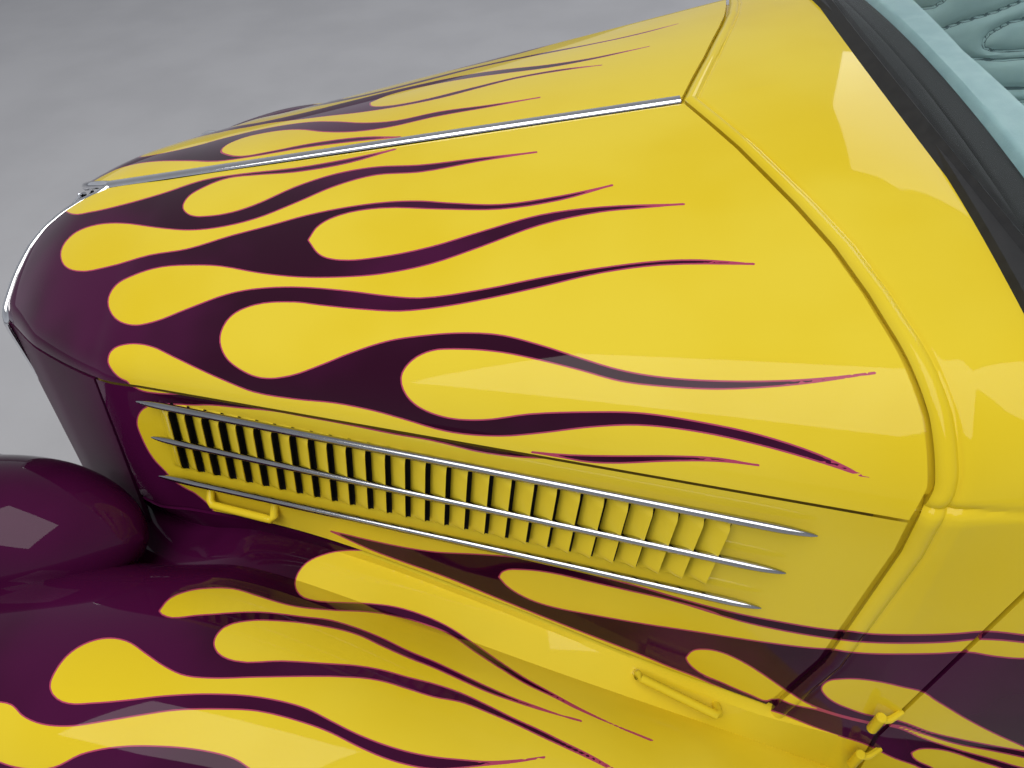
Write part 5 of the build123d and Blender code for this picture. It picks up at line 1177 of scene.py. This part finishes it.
def tyre_profile(radius, width, rim, count):
    """The tyre's section at each angle: two walls, shoulders and a tread with grooves and blocks."""
    wall = [(0.38, rim - 2), (0.44, rim + 8), (0.485, rim + (radius - rim) * 0.3), (0.5, rim + (radius - rim) * 0.5),
            (0.49, rim + (radius - rim) * 0.72), (0.455, radius - 14)]
    left_wall = [(-a * width, r) for a, r in wall]
    tread = np.linspace(-0.43, 0.43, 35)
    section = np.array(left_wall + [(a * width, radius - 14 * (abs(a) / 0.43) ** 4) for a in tread]
                       + [(a * width, r) for a, r in reversed(wall)])
    profile = np.broadcast_to(section, (count, *section.shape)).copy()
    turn = np.arange(count)[:, None] / count
    share = section[None, :, 0] / width
    inner = np.abs(share) <= 0.44
    ribs = (np.abs(np.abs(share) - 0.13) < 0.016) | (np.abs(np.abs(share) - 0.29) < 0.016)
    blocks = (np.abs(share) > 0.3) & (((turn * 72 + 0.5 * (share > 0)) % 1) < 0.26)
    sipes = (np.abs(np.abs(share) - 0.21) < 0.06) & (((turn * 72 + share * 6) % 1) < 0.2)
    profile[..., 1] -= np.where(inner & (ribs | blocks | sipes), 6.5, 0)
    return profile


# Wheels: name, axle, middle of the tyre from the centreline, tyre radius and width, rim radius
WHEELS = [("front", FRONT_AXLE_X, 712, 320, 185, 195), ("rear", REAR_AXLE_X, 716, 360, 235, 205)]
LAMP_CENTER = (0, 517, 692)
LAMP_FRONT = NOSE_X - 105
LAMP_GLASS_RADIUS = 112
TYRE_STEPS = 288
for side in ("left", "right"):
    for kind, x, y, radius, width, rim in WHEELS:
        wheel = f"{kind}_wheel_{side}"
        tyre = turned(tyre_profile(radius, width, rim, TYRE_STEPS), TYRE_STEPS, (x, y, radius))
        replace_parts(add(f"tyre_tread_{kind}_{side}", tyre, side, wheel, "tyre", "tyre"), f"tyre_{kind}_{side}")
        dome = [(-30 + 120 * cos(t), max(120 * sin(t), 0.2)) for t in np.linspace(1.09, 0.0, 20)]
        lip = [(0.4 * width + 3 + 7 * cos(t), rim - 9 + 8 * sin(t)) for t in np.linspace(0, 2 * pi, 13)]
        bright = joined(turned(dome, 64, (x, y, radius)), turned(lip, 96, (x, y, radius)))
        add(f"wheel_bright_{kind}_{side}", bright, side, wheel, "chrome", "chrome")
    shell = [(LAMP_FRONT, 104), (LAMP_FRONT + 14, 122)]
    for t in np.linspace(0, 1, 40):
        shell.append((LAMP_FRONT + 30 + 234 * t, max(123 * (1 - t ** 2.3) ** 0.62, 0.3)))
    post = [(NOSE_X - 20, 515, z) for z in (520, 545, 575, 600)]
    points, faces = joined(turned(shell, 96, LAMP_CENTER, "x"), sweep(post, [34, 27, 25, 30], 32, (1, 0, 0)))
    shell = above_fender(points), faces
    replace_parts(add(f"lamp_shell_{side}", shell, side, "chassis", "dark_paint", "purple"), f"headlamp_{side}")
    bezel = [(LAMP_FRONT + 10 + 10 * cos(t), 117 + 9 * sin(t)) for t in np.linspace(0, 2 * pi, 17)]
    bowl = [(LAMP_FRONT - 2, r) for r in (0.3, 60, LAMP_GLASS_RADIUS)]
    glass = [(LAMP_FRONT - 4 - 16 * (1 - (r / LAMP_GLASS_RADIUS) ** 2), max(r, 0.3))
             for r in np.linspace(0, LAMP_GLASS_RADIUS, 14)]
    points, faces = turned(bezel, 96, LAMP_CENTER, "x")
    add(f"lamp_bezel_{side}", (above_fender(points), faces), side, "chassis", "chrome", "chrome")
    add(f"lamp_bowl_{side}", turned(bowl, 64, LAMP_CENTER, "x"), side, "chassis", "chrome", "chrome")
    add(f"lamp_lens_{side}", turned(glass, 64, LAMP_CENTER, "x"), side, "chassis", "glass", "lens")


# Stage, light and camera

def stage_floor():
    mesh = bpy.data.meshes.new("floor")
    reach = 30
    corners = [(-reach, -reach, 0), (reach, -reach, 0), (reach, reach, 0), (-reach, reach, 0)]
    mesh.from_pydata(corners, [], [(0, 1, 2, 3)])
    piece = bpy.data.objects.new("studio_floor", mesh)
    bpy.context.scene.collection.objects.link(piece)
    made = Finish("studio_floor", Roughness=0.9)
    cloud = made.noise(2.0).between(0.3, 0.7)
    made.set(Base_Color=made.mix(cloud, (0.44, 0.44, 0.46, 1), (0.48, 0.48, 0.50, 1)))
    piece.data.materials.append(made.material)


def area_light(name, at, aim, size, power, color=(1, 1, 1)):
    data = bpy.data.lights.new(name, "AREA")
    data.shape = "RECTANGLE"
    data.size, data.size_y = size
    data.energy = power
    data.color = color
    lamp = bpy.data.objects.new(name, data)
    bpy.context.scene.collection.objects.link(lamp)
    lamp.location = at
    lamp.rotation_euler = (Vector(aim) - Vector(at)).to_track_quat("-Z", "Y").to_euler()


stage_floor()
world = bpy.data.worlds.new("studio")
bpy.context.scene.world = world
world.use_nodes = True
background = world.node_tree.nodes["Background"]
background.inputs["Color"].default_value = (0.86, 0.89, 0.96, 1)
sky = world.node_tree.nodes.new("ShaderNodeTexCoord")
height = world.node_tree.nodes.new("ShaderNodeSeparateXYZ")
fade = world.node_tree.nodes.new("ShaderNodeMapRange")
for socket, value in zip(list(fade.inputs)[1:5], (0.0, 0.75, 0.52, 0.30)):
    socket.default_value = value
world.node_tree.links.new(sky.outputs["Generated"], height.inputs[0])
world.node_tree.links.new(height.outputs["Z"], fade.inputs[0])
world.node_tree.links.new(fade.outputs[0], background.inputs["Strength"])
area_light("key", (-2.0, -2.6, 6.5), (-0.6, 0, 0.8), (5.0, 5.0), 330, (1.0, 0.98, 0.94))
area_light("fill", (3.0, 4.5, 5.0), (0.0, 0, 0.8), (5.0, 3.0), 110, (0.93, 0.96, 1.0))

camera_data = bpy.data.cameras.new("photo_camera")
camera_data.sensor_width = 36
camera_data.lens = FOCAL * 36 / PICTURE[0]
camera_data.clip_end = 200
camera = bpy.data.objects.new("photo_camera", camera_data)
bpy.context.scene.collection.objects.link(camera)
turn = Matrix((CAMERA_X, CAMERA_Y, -camera_way)).transposed().to_4x4()
camera.matrix_world = Matrix.Translation(Vector(CAMERA_AT) * MM) @ turn
bpy.context.scene.camera = camera
bpy.context.scene.view_settings.view_transform = "Standard"
